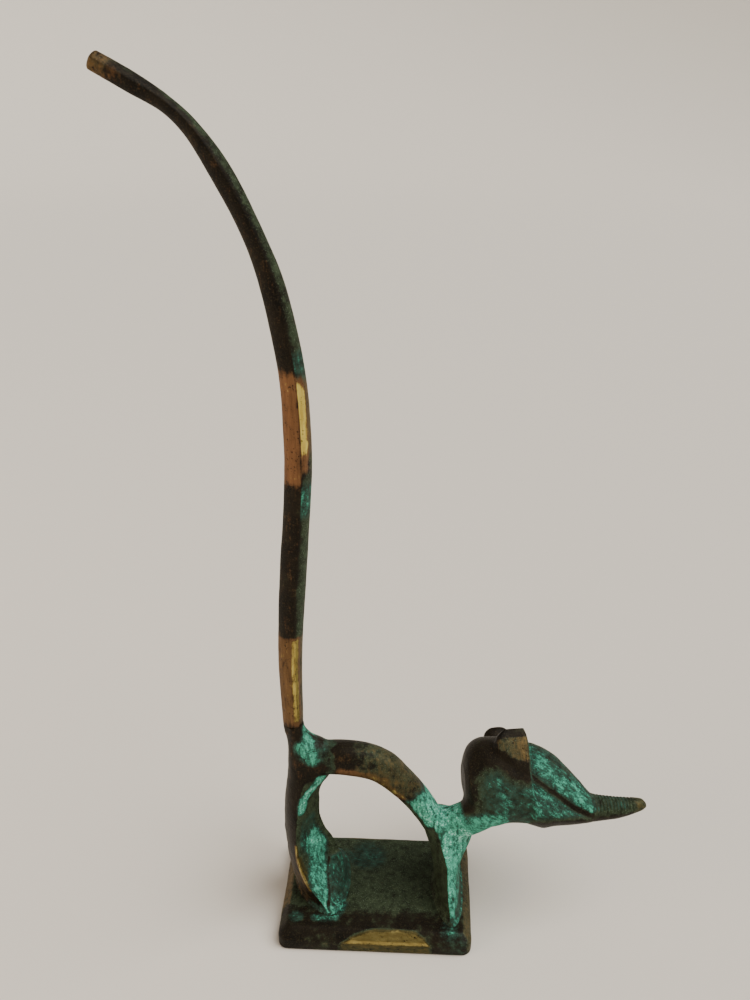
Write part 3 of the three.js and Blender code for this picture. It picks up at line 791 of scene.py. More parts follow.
def head_patina(points):
    """Verdigris, film, rubbing and brush place on the head, from places in the head's own directions."""
    x, y, z = points.T
    side = np.abs(y)
    hood = 1 - rise(x, 12.5, 13.3)
    crease_gap = z - crease_height(x)
    snout = rise(x, 25.4, 27.2)
    face = (1 - hood) * (1 - snout) * rise(crease_gap, 0.0, 0.8)
    jaw = (1 - hood) * (1 - snout) * (1 - rise(crease_gap, -1.3, -0.3))
    cheek = hood * rise(x, 0.0, 4.2)
    cheek *= 1 - rise(z - read_table(HOOD_LIMIT, x), -2.4, 1.2)
    throat = hood * (1 - rise(z, -3.4, -0.8)) * (1 - rise(x, 5.0, 9.0)) * rise(z, -6.4, -5.6)
    ridges = snout * (1 - rise(x, 33.5, 34.5)) * rise(z, -3.4, -2.4)
    middle = between(z - 0.9 * (19.0 - x), 3.2, 5.4, 2.6)
    tip = rise(x, 34.4, 36.4)
    low = z - read_table(PATCH_LOW, x)
    top = read_table(PATCH_TOP, x) - z
    patch = rise(low, -0.6, 0.6) * rise(top, -0.35, 0.35)
    patch *= between(x, 7.0, 13.8, 0.8) * rise(side, 5.2, 5.9)

    verdigris = cheek * (0.33 + 0.08 * rise(x, 3.5, 7.0))
    verdigris += face * (0.38 + 0.24 * middle) * rise(side, 0.4, 2.0)
    verdigris += 0.46 * jaw * rise(z, -4.4, -2.8) + 0.55 * throat
    verdigris += ridges * (0.12 + 0.24 * (1 - groove_share(x)))
    film = 0.2 + 0.9 * cheek + 0.95 * (face + jaw * rise(z, -4.6, -3.0)) + throat
    film += 0.7 * snout * rise(z, -4.4, -3.0) * (1 - rise(x, 34.0, 36.0)) + 0.75 * tip + 0.55 * patch
    # The ear's rubbed patch grows brighter towards its front edge, partly a painted highlight of the window
    # light
    bare = 0.32 * tip + patch * (0.26 + 0.18 * rise(x, 8.5, 12.0))
    on_ear = ((z > 8.0) & (x < 13.5))[:, None]
    strokes = np.where(on_ear, brushed(points, (0, 0, 1)), brushed(points, STROKES))
    return np.column_stack([verdigris, film, bare, strokes])


# %% [markdown]
# The patina is stored on the skin as attributes, which are cut and carried along with the mesh, and
# which the material reads by their names. Thick crust is thinned in spots, or it would look painted.

# %% Store the patina on the skin
PATINA_NAMES = ("verdigris", "green_film", "rubbing")
PATINA_MOST = 1.4
THIN_SIZE = 1.2
THIN_SHARE = 0.4


def store_patina(mesh, patina):
    """Writes the patina to a mesh: three numbers and the brush place, in metres, for each vertex."""
    for index, name in enumerate(PATINA_NAMES):
        values = np.clip(patina[:, index], 0, PATINA_MOST).astype(np.float32)
        mesh.attributes.new(name, "FLOAT", "POINT").data.foreach_set("value", values)
    strokes = (patina[:, 3:] * MM).astype(np.float32)
    mesh.attributes.new("brush", "FLOAT_VECTOR", "POINT").data.foreach_set("vector", strokes.ravel())


def read_patina(mesh):
    """The patina of a mesh as it was given to store_patina."""
    numbers = [read_rows(mesh.attributes[name].data, "value", 1, np.float32) for name in PATINA_NAMES]
    strokes = read_rows(mesh.attributes["brush"].data, "vector", 3, np.float32)
    return np.hstack([*numbers, strokes / MM])


on_head = rise(past(points, neck_seam), -0.8, 1.4)[:, None]
patina = (1 - on_head) * body_patina(points, normals) + on_head * head_patina(to_head(points))
thin = rise(soft_noise(points, THIN_SIZE, seed=3), 0.1, 0.5) * rise(points[:, 0], -6.0, -4.0)
patina[:, 0] *= 1 - THIN_SHARE * thin * rise(patina[:, 0], 0.75, 1.0)
store_patina(wax, patina)
print("patina means:", np.round(patina[:, :3].mean(axis=0), 2))

# %% [markdown]
# Parting the castings. A knife cuts the skin along each seam, only near its pin, and each open end
# is closed by a flat face with a drilled socket for the pin, as on the real castings.

# %% Part the castings at the seams
SEAM_REACH = 6.5
NECK_REACH = 9.0
EAR_SEAT_RISE = 0.35
FOOT_REACH = 16.0
CUT_SNAP = 1e-4


def knife(skin, middle, direction, reach, keep_lower=False):
    """Cuts the faces within reach of a point along a plane, and opens the cut or drops the upper side."""
    middle, direction = Vector(middle), Vector(direction)
    faces = [face for face in skin.faces if (face.calc_center_median() - middle).length < reach]
    parts = {part for face in faces for part in (*face.verts, *face.edges)}
    geometry = [*faces, *parts]
    cut = bmesh.ops.bisect_plane(
        skin, geom=geometry, plane_co=middle, plane_no=direction, dist=CUT_SNAP, clear_outer=keep_lower
    )
    if not keep_lower:
        opened = [part for part in cut["geom_cut"] if isinstance(part, bmesh.types.BMEdge)]
        bmesh.ops.split_edges(skin, edges=opened)


def raised(seat, rise_by):
    """A peg's seat moved out along the peg, away from the middle of the head."""
    middle, direction = seat
    outward = direction * np.sign(direction[2])
    return middle + outward * rise_by, outward


UP = np.array([0.0, 0.0, 1.0])
tail_up = tail_seam[0], tail_seam[1] * np.sign(tail_seam[1][2])
hind_foot = np.array([hind_place, 0.0, plinth_top]), UP
fore_foot = np.array([fore_place, 0.0, plinth_top]), UP
right_ear_cut = raised(right_ear_seat, EAR_SEAT_RISE)
left_ear_cut = raised(left_ear_seat, EAR_SEAT_RISE)

skin = bmesh.new()
skin.from_mesh(wax)
bmesh.ops.triangulate(skin, faces=skin.faces)
for seam in (rump_seam, shoulder_seam, right_ear_cut, left_ear_cut):
    knife(skin, *seam, SEAM_REACH)
knife(skin, *neck_seam, NECK_REACH)
knife(skin, *tail_up, SEAM_REACH, keep_lower=True)
for foot in (hind_foot, fore_foot):
    knife(skin, foot[0], -foot[1], FOOT_REACH, keep_lower=True)
bmesh.ops.triangulate(skin, faces=skin.faces)
skin.to_mesh(wax)
skin.free()
print("parted skin:", len(wax.vertices), "vertices")

# %% [markdown]
# Each casting is a loose part of the skin. Vertices that are joined by edges share the lowest number
# among them, so numbers spread through each part until none changes, and the parts can be told apart.
# The cut ends are then closed: the open edge is joined to a circle, and the circle to a drilled hole.

# %% Close the castings and name them
# Radius and depth of the holes
PIN_HOLE = (0.95, 4.8)
PEG_HOLE = (0.65, 1.6)
SCREW_HOLE = (1.45, 6.2)
# A direction that no pin, peg or screw has, to count the angles round a hole from
OFF_AXIS = (0.3, 0.9, 0.2)
SHARP_ANGLE = math.radians(58)
# Seams and what is drilled into them: middle, direction, radius and depth of the hole
DRILLED = [
    (*tail_up, *PIN_HOLE),
    (*rump_seam, *PIN_HOLE),
    (*shoulder_seam, *PIN_HOLE),
    (*neck_seam, *PIN_HOLE),
    (*right_ear_cut, *PEG_HOLE),
    (*left_ear_cut, *PEG_HOLE),
    (*hind_foot, *SCREW_HOLE),
    (*fore_foot, *SCREW_HOLE),
]


def loose_parts(count, edges):
    """A number for each vertex, the same within each connected part: the lowest vertex number there."""
    label = np.arange(count)
    while True:
        low = label.copy()
        np.minimum.at(low, edges[:, 0], label[edges[:, 1]])
        np.minimum.at(low, edges[:, 1], label[edges[:, 0]])
        low = low[low]
        if np.array_equal(low, label):
            return label
        label = low


def open_loops(triangles):
    """Open ends of a skin as rings of vertex numbers, along the edges that only one triangle has."""
    sides = [triangles[:, [corner, (corner + 1) % 3]] for corner in range(3)]
    pairs = np.concatenate(sides).astype(np.int64)
    size = pairs.max() + 1
    lone = pairs[~np.isin(pairs @ [size, 1], pairs @ [1, size])]
    after = dict(lone.tolist())
    rings = []
    while after:
        ring = [next(iter(after))]
        while ring[-1] in after:
            ring.append(after.pop(ring[-1]))
        rings.append(np.array(ring[:-1]))
    return rings


def drilled_end(points, ring, middle, direction, radius, depth):
    """Flat end with a socket: open edge to circle, circle to hole, hole to floor, all at equal angles."""
    inward = direction * np.sign((points.mean(axis=0) - middle) @ direction)
    first = np.cross(inward, OFF_AXIS)
    first /= np.linalg.norm(first)
    second = np.cross(inward, first)
    offset = points[ring] - middle
    angle = np.unwrap(np.arctan2(offset @ second, offset @ first))
    way = np.sign(angle[-1] - angle[0])
    angle = way * np.maximum.accumulate(way * angle)[:, None]
    circle = middle + radius * (np.cos(angle) * first + np.sin(angle) * second)
    added = np.vstack([circle, circle + depth * inward, middle + depth * inward])
    count, start = len(ring), len(points)
    rim, floor = start + np.arange(count), start + count + np.arange(count)
    loops = [ring, rim, floor, np.full(count, start + 2 * count)]
    bands = []
    for outer, inner in zip(loops[:-1], loops[1:]):
        after, inner_after = np.roll(outer, -1), np.roll(inner, -1)
        bands.append(np.stack([after, outer, inner], axis=1))
        bands.append(np.stack([after, inner, inner_after], axis=1))
    faces = np.vstack(bands)
    keep = (faces[:, 0] != faces[:, 1]) & (faces[:, 1] != faces[:, 2]) & (faces[:, 2] != faces[:, 0])
    return np.vstack([points, added]), faces[keep]


def make_piece(name, points, faces, patina):
    """A piece of the scene from places in millimetres: faces turned out, smooth but for sharp edges."""
    mesh = bpy.data.meshes.new(name)
    mesh.from_pydata((points * MM).tolist(), [], faces.tolist())
    store_patina(mesh, patina)
    shell = bmesh.new()
    shell.from_mesh(mesh)
    bmesh.ops.recalc_face_normals(shell, faces=shell.faces)
    shell.to_mesh(mesh)
    shell.free()
    mesh.polygons.foreach_set("use_smooth", np.ones(len(mesh.polygons), bool))
    mesh.set_sharp_from_angle(angle=SHARP_ANGLE)
    return new_object(name, mesh)


def close_ends(points, triangles, patina):
    """Closes every open end of a casting at its seam. The new faces have no crust, film or rubbing."""
    for ring in open_loops(triangles):
        gaps = [np.linalg.norm(points[ring].mean(axis=0) - seam[0]) for seam in DRILLED]
        points, faces = drilled_end(points, ring, *DRILLED[np.argmin(gaps)])
        triangles = np.vstack([triangles, faces])
    spare = np.zeros((len(points) - len(patina), patina.shape[1]))
    return points, triangles, np.vstack([patina, spare])


def box_middle(points):
    """Middle of the box round some points."""
    return (points.min(axis=0) + points.max(axis=0)) / 2


CASTINGS = ("hindquarter", "back_arch", "forequarter", "head", "right_ear", "left_ear")
centres = np.array([box_middle(node_points(node)) for node in CASTINGS])
points = mesh_points(wax)
triangles = read_rows(wax.polygons, "vertices", 3, np.int32)
patina = read_patina(wax)
label = loose_parts(len(points), mesh_edges(wax))
pieces = {}
for number in np.unique(label):
    inside = label == number
    gaps = np.linalg.norm(centres - box_middle(points[inside]), axis=1)
    node = CASTINGS[np.argmin(gaps)]
    renumber = np.cumsum(inside) - 1
    part = renumber[triangles[inside[triangles[:, 0]]]]
    closed = close_ends(points[inside], part, patina[inside])
    print(node, "has", int(inside.sum()), "vertices and", len(open_loops(closed[1])), "open ends")
    pieces[node] = make_piece(node + "_cast", *closed)

# %% [markdown]
# The tail is kept as a bar of its own, because its ridges are crisper than melted wax would leave
# them. Its rings start on the seam, with the flat, drilled end of the other castings, and close in
# over the last half millimetre to round the tip.

# %% Cast the tail
TAIL_AROUND = 72
SEAM_GAP = 0.02
TIP_ROUND = 0.6
TIP_LEFT = 0.45
TAIL_EVEN = 0.4
RINGS_TO_EVEN = 8
upper_path = tail_path[(tail_path[:, :3] - tail_up[0]) @ tail_up[1] > SEAM_GAP]
stride = np.linalg.norm(np.diff(upper_path[:, :3], axis=0), axis=1)
to_tip = np.append(np.cumsum(stride[::-1])[::-1], 0.0)
close_in = np.sqrt(np.clip(1 - (1 - np.minimum(to_tip / TIP_ROUND, 1)) ** 2, 0.02, 1))
upper_path[:, 3:] *= (TIP_LEFT + (1 - TIP_LEFT) * close_in)[:, None]
rings = bar_rings(upper_path, TAIL_FULLNESS, TAIL_AROUND, TAIL_TWIST)
rings[0] -= ((rings[0] - tail_up[0]) @ tail_up[1])[:, None] * tail_up[1]
outward = rings - upper_path[:, None, :3]
outward /= np.linalg.norm(outward, axis=2, keepdims=True)
off_seam = 1 - np.exp(-np.arange(len(rings)) / RINGS_TO_EVEN)
wave = TAIL_EVEN * off_seam[:, None] * unevenness(rings.reshape(-1, 3)).reshape(rings.shape[:2])
waved = rings + outward * wave[..., None]
points = np.vstack([waved.reshape(-1, 3), rings[-1].mean(axis=0)])
index, beside, quads = ring_quads(*rings.shape[:2])
tip = np.stack([np.full(TAIL_AROUND, index.size), index[-1], beside[-1]], axis=1)
triangles = np.vstack([quads[:, [0, 1, 2]], quads[:, [0, 2, 3]], tip])
print("tail:", len(points), "vertices")

# %% [markdown]
# Two bands on the tail have been rubbed, and so has its tip. In the bands the faces left of the ridge are
# copper brown, partly a painted warm reflection of the light from the left, and those to the right are
# brass, partly a painted reflection of the window light. How far the way out of a vertex points along x
# tells its face. Between the bands the tail is dark, with a green film on the right that is partly a
# painted sheen.

# %% Patina of the tail
# Heights of the rubbed bands and of the painted highlight in the upper band, then the length of the
# polished tip
LOW_BAND = (48.6, 66.7)
HIGH_LEFT_BAND = (100.6, 118.6)
HIGH_RIGHT_BAND = (102.5, 118.5)
HIGH_PAINTED_HIGHLIGHT = (106.5, 116.5)
TIP_POLISH = 7.0
RIDGE_FACING = math.sin(TAIL_TWIST)


def tail_patina(points, facing, to_tip):
    """Verdigris, film, rubbing and brush place on the tail, from places, facing and way to the tip."""
    z = points[:, 2]
    right = rise(facing, RIDGE_FACING, RIDGE_FACING + 0.1)
    edge = rise(facing, 0.8, 0.98)
    ridge = between(facing, RIDGE_FACING - 0.03, RIDGE_FACING + 0.03, 0.06)
    low_band = rise(z, LOW_BAND[0] - 3.0, LOW_BAND[0]) * (1 - rise(z, LOW_BAND[1], LOW_BAND[1] + 1.4))
    # Painted highlight: extra rubbing across the middle of the right faces in the lower band
    low_painted_highlight = low_band * between(facing, 0.35, 0.65, 0.25)
    high_left = between(z, *HIGH_LEFT_BAND, 2.4) * (1 - right)
    high_right = between(z, *HIGH_RIGHT_BAND, 2.0) * right
    # Painted highlight: extra rubbing on the right faces of the upper band, beside the ridge, fading
    # outwards
    high_painted_highlight = between(z, *HIGH_PAINTED_HIGHLIGHT, 3.0) * right * (1 - 0.45 * rise(facing, 0.6, 0.9))
    tip_polish = 1 - rise(to_tip, 0.0, TIP_POLISH)
    dark = (1 - low_band) * (1 - high_left) * (1 - high_right)
    # More green film towards the right faces: partly green film, partly a painted sheen of the window light
    # on the side that faces it
    green = 0.05 + 0.5 * rise(facing, RIDGE_FACING, RIDGE_FACING + 0.4)

    verdigris = right * (0.3 * between(z, 94.0, 98.0, 2.5) + 0.24 * between(z, 119.0, 122.0, 3.0))
    verdigris += 0.14 * right * dark * between(z, 70.0, 150.0, 5.0)
    film = np.maximum.reduce([
        0.15 + dark * green * rise(z, 64.0, 68.0),
        0.7 * edge * (low_band + high_right),
        0.6 * tip_polish,
        (0.45 + 0.15 * low_painted_highlight) * low_band,
    ])
    # The copper of the left faces and the brass of the right faces are partly painted reflections of the
    # warm light and the window light; the little rubbing on the dark left faces is partly a painted sheen
    bare = 0.58 * (low_band + high_left) + 0.32 * low_painted_highlight + 0.45 * high_right + 0.7 * high_painted_highlight
    bare -= 0.25 * edge * (low_band + high_right) + 0.25 * ridge * (high_left + high_right)
    bare += 0.36 * tip_polish + 0.07 * dark * (1 - right)
    return np.column_stack([verdigris, film, bare, brushed(points, (0, 0, 1), 0.12)])


facing = np.append(outward[:, :, 0].ravel(), 0.0)
reach = np.append(np.repeat(to_tip, TAIL_AROUND), 0.0)
patina = tail_patina(points, facing, reach)
pieces["tail"] = make_piece("tail_cast", *close_ends(points, triangles, patina))
print("tail patina means:", np.round(patina[:, :3].mean(axis=0), 2))

# %% [markdown]
# The plinth starts from a copy of its CAD solid, with its screw holes, and is melted and smoothed
# like the rest, which breaks its sharp edges.

# %% Cast the plinth
PLINTH_VOXEL = 0.25
PLINTH_ROUNDS = 12
PLINTH_EVEN = 0.8
SAME_PLACE = 1e-6

solid = bmesh.new()
solid.from_mesh(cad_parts["base_plinth"].data)
bmesh.ops.remove_doubles(solid, verts=solid.verts, dist=SAME_PLACE)
bmesh.ops.scale(solid, vec=Vector((1, 1, 1)) / MM, verts=solid.verts)
plain = bpy.data.meshes.new("plinth_wax")
solid.to_mesh(plain)
solid.free()
slab = melt([(mesh_points(plain), [list(face.vertices) for face in plain.polygons])], PLINTH_VOXEL)
points = relax(mesh_points(slab), mesh_edges(slab), SHARE, PLINTH_ROUNDS)
move_points(slab, points)
normals = mesh_normals(slab)
wave = PLINTH_EVEN * unevenness(points) * rise(points[:, 2], 0.5, 2.0)
points = points + normals * wave[:, None]
faces = read_rows(slab.polygons, "vertices", 4, np.int32)
print("plinth:", len(points), "vertices")

# %% [markdown]
# On each long side a wheel has rubbed the bevel bright, in the shape of a lens, and the ends are
# rubbed too. The level top keeps a green film, which also paints it lighter than the upright faces as
# painted light from above; the upright faces stay dark brown as painted shade. Crust gathers in the corners
# round the feet.

# %% Patina of the plinth
# Upper edge of the rubbed lens on the near side: place along the plinth, height
LENS_TOP = [
    (-7.6, 1.8),
    (-6.6, 2.5),
    (-5.0, 3.4),
    (-3.0, 4.1),
    (0.0, 4.6),
    (5.0, 4.7),
    (8.5, 4.4),
    (10.4, 3.5),
    (11.4, 2.5),
    (11.9, 1.8),
]
END_LENS_HALF = 8.0
# Verdigris in the corner between a hind foot and the plinth
FOOT_FILLET = [
    (-12.5, 10.3, 4.7),
    (-10.6, 10.5, 4.7),
    (-8.5, 10.2, 4.7),
    (-7.5, 8.3, 4.8),
    (-6.9, 6.5, 4.8),
]
# Spots of verdigris on the top, the first two mirrored: corner, end of a fore foot, middle
CORNER_SPOT = (-16.5, 10.2, plinth_top)
FORE_SPOT = (fore_place, 11.6, plinth_top)
MIDDLE_SPOT = (-2.5, 7.5, plinth_top)


def lens(along, height, toward):
    """Rubbed lens along a long side: bright on the bevel, duller on the upright face below."""
    top = read_table(LENS_TOP, along)
    shape = (1 - rise(height, top - 0.6, top + 0.4)) * between(along, -6.6, 10.9, 1.2)
    shape *= rise(toward, 0.1, 0.35)
    return shape * (0.42 + 0.6 * rise(height, 1.9, 2.7))


def plinth_patina(points, normals):
    """Verdigris, film, rubbing and brush place on the plinth, from places and normals."""
    x, y, z = points.T
    out_x, out_y, out_z = normals.T
    mirrored = np.column_stack([x, np.abs(y), z])
    lenses = lens(x, z, -out_y) + lens(-x, z, out_y)
    rear_end = (1 - rise(np.abs(y) / END_LENS_HALF, 0.7, 1.1)) * rise(-out_x, 0.2, 0.5)
    head_end = rise(out_x, 0.3, 0.6)
    # Green film on the level top, partly painted light from above; little of it on the strip along the near
    # edge
    top_film_and_painted_light = rise(out_z, 0.85, 0.97) * (1 - 0.97 * rise(-y, 5.0, 10.0))
    side_film = np.maximum(rise(lenses, 0.0, 0.2), 0.7 * head_end)

    verdigris = 0.48 * near_line(mirrored, FOOT_FILLET, 0.2, 1.6) * (1 - 0.8 * rise(y, 0.0, 1.0))
    verdigris += 0.4 * near(mirrored, CORNER_SPOT, 0.8, 1.6)
    verdigris += 0.35 * near(mirrored, FORE_SPOT, 1.0, 2.0)
    verdigris += 0.35 * near(points, MIDDLE_SPOT, 2.5, 4.5)
    verdigris += 0.22 * rise(x, 9.0, 16.0) * rise(-out_y, 0.1, 0.4)
    # Painted light and shade: the top takes the full green film and shows lighter, while upright faces
    # outside the lenses keep little film and stay dark brown
    film = 0.3 + 0.7 * np.maximum(top_film_and_painted_light, side_film) + 0.4 * rear_end + 0.07 * rise(-out_y, 0.6, 0.9)
    bare = lenses + 0.42 * rear_end + 0.32 * head_end
    return np.column_stack([verdigris, film, bare, brushed(points, (1, 0, 0), 0.4)])


patina = plinth_patina(points, normals)
pieces["base_plinth"] = make_piece("base_plinth_cast", points, faces, patina)
print("plinth patina means:", np.round(patina[:, :3].mean(axis=0), 2))

# %% [markdown]
# The metal. It is cast brass under a chemical patina. Where the patina is whole the eye sees a dark,
# half-shiny brown; a thin green film dulls it; verdigris is a chalky crust with pits; and rubbed brass
# is bright, with fine scratches. Colours are given as the screen shows them and turned to linear light.

# %% Node helper and colours
# Colours of the metal and of what lies on it, from dark to pale
BROWN = ("#0e0c08", "#211b12")
BROWN_SPECK = "#292418"
GREEN = ("#1f2619", "#3a4532")
GREEN_SPECK = "#4c5a43"
DUST = "#6a7a66"
# Copper brown of half-rubbed brass, its warmth partly a painted reflection of the warm light on faces that
# look left
COPPER_BROWN = ("#6b4a32", "#80593c")
OLIVE = ("#3b371f", "#5a5130")
BRASS = ("#c4a94c", "#ead872")
OLD_BRASS = ("#807040", "#a6965a")
PIT = "#1d170d"
STAIN = ("#18261f", "#2e483d")
DEEP_STAIN = "#2b5c4b"
CRUST = ("#2c5547", "#50ad92")
CHALK = ("#58b8a0", "#98d6c6")
TURNED_STEEL = ("#6d6f72", "#a6a8aa")
DRAWN_BRASS = ("#98743a", "#c9a455")
PAPER = "#e2dcd2"
WARM_LIGHT = "#ffe2c6"
WINDOW_LIGHT = "#fdfaf4"
SKY_LIGHT = "#e6e0d8"


def linear(hex_colour):
    """sRGB hex to linear light: the part below 0.04045 is straight, and the rest is a power of 2.4."""
    parts = np.array([int(hex_colour[i:i + 2], 16) / 255 for i in (1, 3, 5)])
    light = np.where(parts <= 0.04045, parts / 12.92, ((parts + 0.055) / 1.055) ** 2.4)
    return (*light.tolist(), 1.0)


def add(tree, kind, inputs=None, **settings):
    """Adds a node, sets its own settings, and fills its sockets with values or with links."""
    made = tree.nodes.new(kind)
    for name, value in settings.items():
        setattr(made, name, value)
    for socket, value in (inputs or {}).items():
        if isinstance(value, bpy.types.NodeSocket):
            tree.links.new(value, made.inputs[socket])
        else:
            made.inputs[socket].default_value = value
    return made


def grain(size):
    """Scale of a noise whose patches measure about this many millimetres."""
    return 1 / (size * MM)


def new_material(name):
    """An empty material, its node tree, and the place on the object, where noise is read."""
    material = bpy.data.materials.new(name)
    material.use_nodes = True
    tree = material.node_tree
    tree.nodes.clear()
    return material, tree, add(tree, "ShaderNodeTexCoord").outputs["Object"]


print("rubbed brass in linear light:", np.round(linear(BRASS[1])[:3], 3))

# %% [markdown]
# One material holds all four looks. Four noises of real sizes, from specks to clouds and strokes, are
# added to the patina numbers, and a smooth step then decides what shows: so the edges break up into
# specks instead of fading. Later layers cover earlier ones, and the crust is also rough and raised.


# %% Patinated brass
def patinated_brass():
    """Cast brass with brown patina, green film, verdigris crust and rubbed places."""
    material, tree, place = new_material("patinated_cast_brass")
    brush = add(tree, "ShaderNodeAttribute", attribute_name="brush").outputs["Vector"]
    verdigris, green_film, rubbing = (
        add(tree, "ShaderNodeAttribute", attribute_name=name).outputs["Fac"] for name in PATINA_NAMES
    )

    def noise(size, detail, vector=place):
        """Noise of a real grain size, spread from 0 to 1."""
        raw = add(tree, "ShaderNodeTexNoise", {
            "Vector": vector, "Scale": grain(size), "Detail": detail, "Roughness": 0.6}).outputs["Fac"]
        return add(tree, "ShaderNodeMapRange", {
            "Value": raw, "From Min": 0.3, "From Max": 0.7}).outputs["Result"]

    def total(*terms):
        """Sum of pairs of a value and its weight."""
        result = 0.0
        for value, weight in terms:
            parts = {0: value, 1: weight, 2: result}
            result = add(tree, "ShaderNodeMath", parts, operation="MULTIPLY_ADD").outputs[0]
        return result

    def step(value, low, high):
        """Smooth step from low to high."""
        limits = {"Value": value, "From Min": low, "From Max": high}
        return add(tree, "ShaderNodeMapRange", limits, interpolation_type="SMOOTHSTEP").outputs["Result"]

    def blend(factor, low, high):
        """Colour between two, each a hex colour or a socket."""
        low, high = (linear(colour) if isinstance(colour, str) else colour for colour in (low, high))
        return add(tree, "ShaderNodeMix", {0: factor, 6: low, 7: high}, data_type="RGBA").outputs[2]

    def level(factor, low, high):
        """Number between two, each a number or a socket."""
        return add(tree, "ShaderNodeMix", {0: factor, 2: low, 3: high}, data_type="FLOAT").outputs[0]

    speck = noise(0.3, 2.0)
    clump = noise(1.3, 3.0)
    cloud = noise(4.5, 2.0)
    stroke = noise(0.6, 3.0, brush)

    patches = total((cloud, 0.4), (clump, 0.4), (speck, 0.55), (stroke, 0.55))
    flecks = total((speck, 0.9), (stroke, 0.4), (clump, 0.2))
    dust = total((step(noise(0.2, 1.0), 0.86, 1.0), step(green_film, 0.25, 0.7)))
    amount = total((verdigris, patches))
    pale = total((verdigris, flecks))
    stain = step(amount, 0.12, 0.42)
    crust = step(amount, 0.35, 0.74)
    chalk = step(pale, 0.85, 1.3)
    film = step(total((green_film, 1.0), (cloud, 0.35), (clump, 0.35)), 0.65, 1.15)
    worn = total((rubbing, 1.0), (clump, 0.24), (stroke, 0.18), (speck, 0.1), (1.0, -0.26))
    half = step(worn, 0.08, 0.6)
    full = step(worn, 0.68, 0.95)
    pits = step(total((speck, 0.65), (clump, 0.35)), 0.24, 0.16)

    brown = blend(step(speck, 0.55, 0.9), blend(cloud, *BROWN), BROWN_SPECK)
    green = blend(step(speck, 0.75, 0.98), blend(clump, *GREEN), GREEN_SPECK)
    colour = blend(total((dust, 0.55)), blend(film, brown, green), DUST)
    colour = blend(half, colour, blend(green_film, blend(stroke, *COPPER_BROWN), blend(stroke, *OLIVE)))
    colour = blend(full, colour, blend(green_film, blend(stroke, *BRASS), blend(stroke, *OLD_BRASS)))
    colour = blend(pits, colour, PIT)
    tone = total((amount, 0.45), (stroke, 0.4), (clump, 0.1), (speck, 0.15))
    colour = blend(stain, colour, blend(step(verdigris, 0.45, 0.9), blend(clump, *STAIN), DEEP_STAIN))
    colour = blend(crust, colour, blend(step(tone, 0.35, 1.0), *CRUST))
    colour = blend(chalk, colour, blend(step(tone, 0.5, 1.1), *CHALK))

    metallic = level(full, level(half, level(film, 0.25, 0.12), 0.7), 1.0)
    roughness = level(full, level(half, level(film, 0.5, 0.62), 0.45), 0.28)
    plain_height = total((speck, 0.25), (clump, 0.3), (pits, -0.5))
    crust_height = total((speck, 0.6), (clump, 0.5), (stroke, 0.3))
    height = level(crust, level(full, plain_height, total((stroke, 0.12), (pits, -0.6))), crust_height)
    bump = add(tree, "ShaderNodeBump", {"Strength": 0.7, "Distance": 0.15 * MM, "Height": height})
    shader = add(tree, "ShaderNodeBsdfPrincipled", {
        "Base Color": colour,
        "Metallic": level(stain, metallic, 0.0),
        "Roughness": level(crust, roughness, 0.8),
        "Specular IOR Level": 0.12,
        "Normal": bump.outputs["Normal"],
    })
    add(tree, "ShaderNodeOutputMaterial", {"Surface": shader.outputs["BSDF"]})
    return material


casting_metal = patinated_brass()
print("patinated brass:", len(casting_metal.node_tree.nodes), "nodes")

# %% [markdown]
# The pins, pegs and screws are turned or drawn. They are seen only when the cat is taken apart, so a
# fine mottle in the colour and a slight bump, like the marks of a tool, are enough.


# %% Turned steel and drawn brass of the fasteners
def turned_metal(name, colours, roughness):
    """Plain bright metal with a fine mottle of tool marks, drawn coarser than life so that it shows."""
    material, tree, place = new_material(name)
    marks = {"Vector": place, "Scale": grain(0.3), "Detail": 3.0}
    mark = add(tree, "ShaderNodeTexNoise", marks).outputs["Fac"]
    dark, bright = (linear(colour) for colour in colours)
    colour = add(tree, "ShaderNodeMix", {0: mark, 6: dark, 7: bright}, data_type="RGBA").outputs[2]
    bump = add(tree, "ShaderNodeBump", {"Strength": 0.3, "Distance": 0.03 * MM, "Height": mark})
    shader = add(tree, "ShaderNodeBsdfPrincipled", {
        "Base Color": colour,
        "Metallic": 1.0,
        "Roughness": roughness,
        "Normal": bump.outputs["Normal"],
    })
    add(tree, "ShaderNodeOutputMaterial", {"Surface": shader.outputs["BSDF"]})
    return material


steel = turned_metal("turned_steel", TURNED_STEEL, 0.35)
rod_brass = turned_metal("drawn_brass", DRAWN_BRASS, 0.32)
print("metals:", casting_metal.name, steel.name, rod_brass.name)

# %% [markdown]
# Every piece rides on the one body of the frame and stands for its CAD node. The pins, pegs and
# screws keep their CAD solids, because these have their true shape, and only take a better metal.

# %% Fit the pieces to the frame
for node, piece in pieces.items():
    piece.data.materials.append(casting_metal)
    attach(piece, "root")
    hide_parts(node)
for node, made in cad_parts.items():
    if node not in pieces:
        made.data.materials.clear()
        made.data.materials.append(rod_brass if "peg" in node else steel)
print("pieces:", sorted(pieces))

# %% [markdown]
# The stage: a pale floor that curves up far away, so that no edge shows from any side. It is a
# surface of revolution: a quarter circle joins the flat disc to the upright wall.

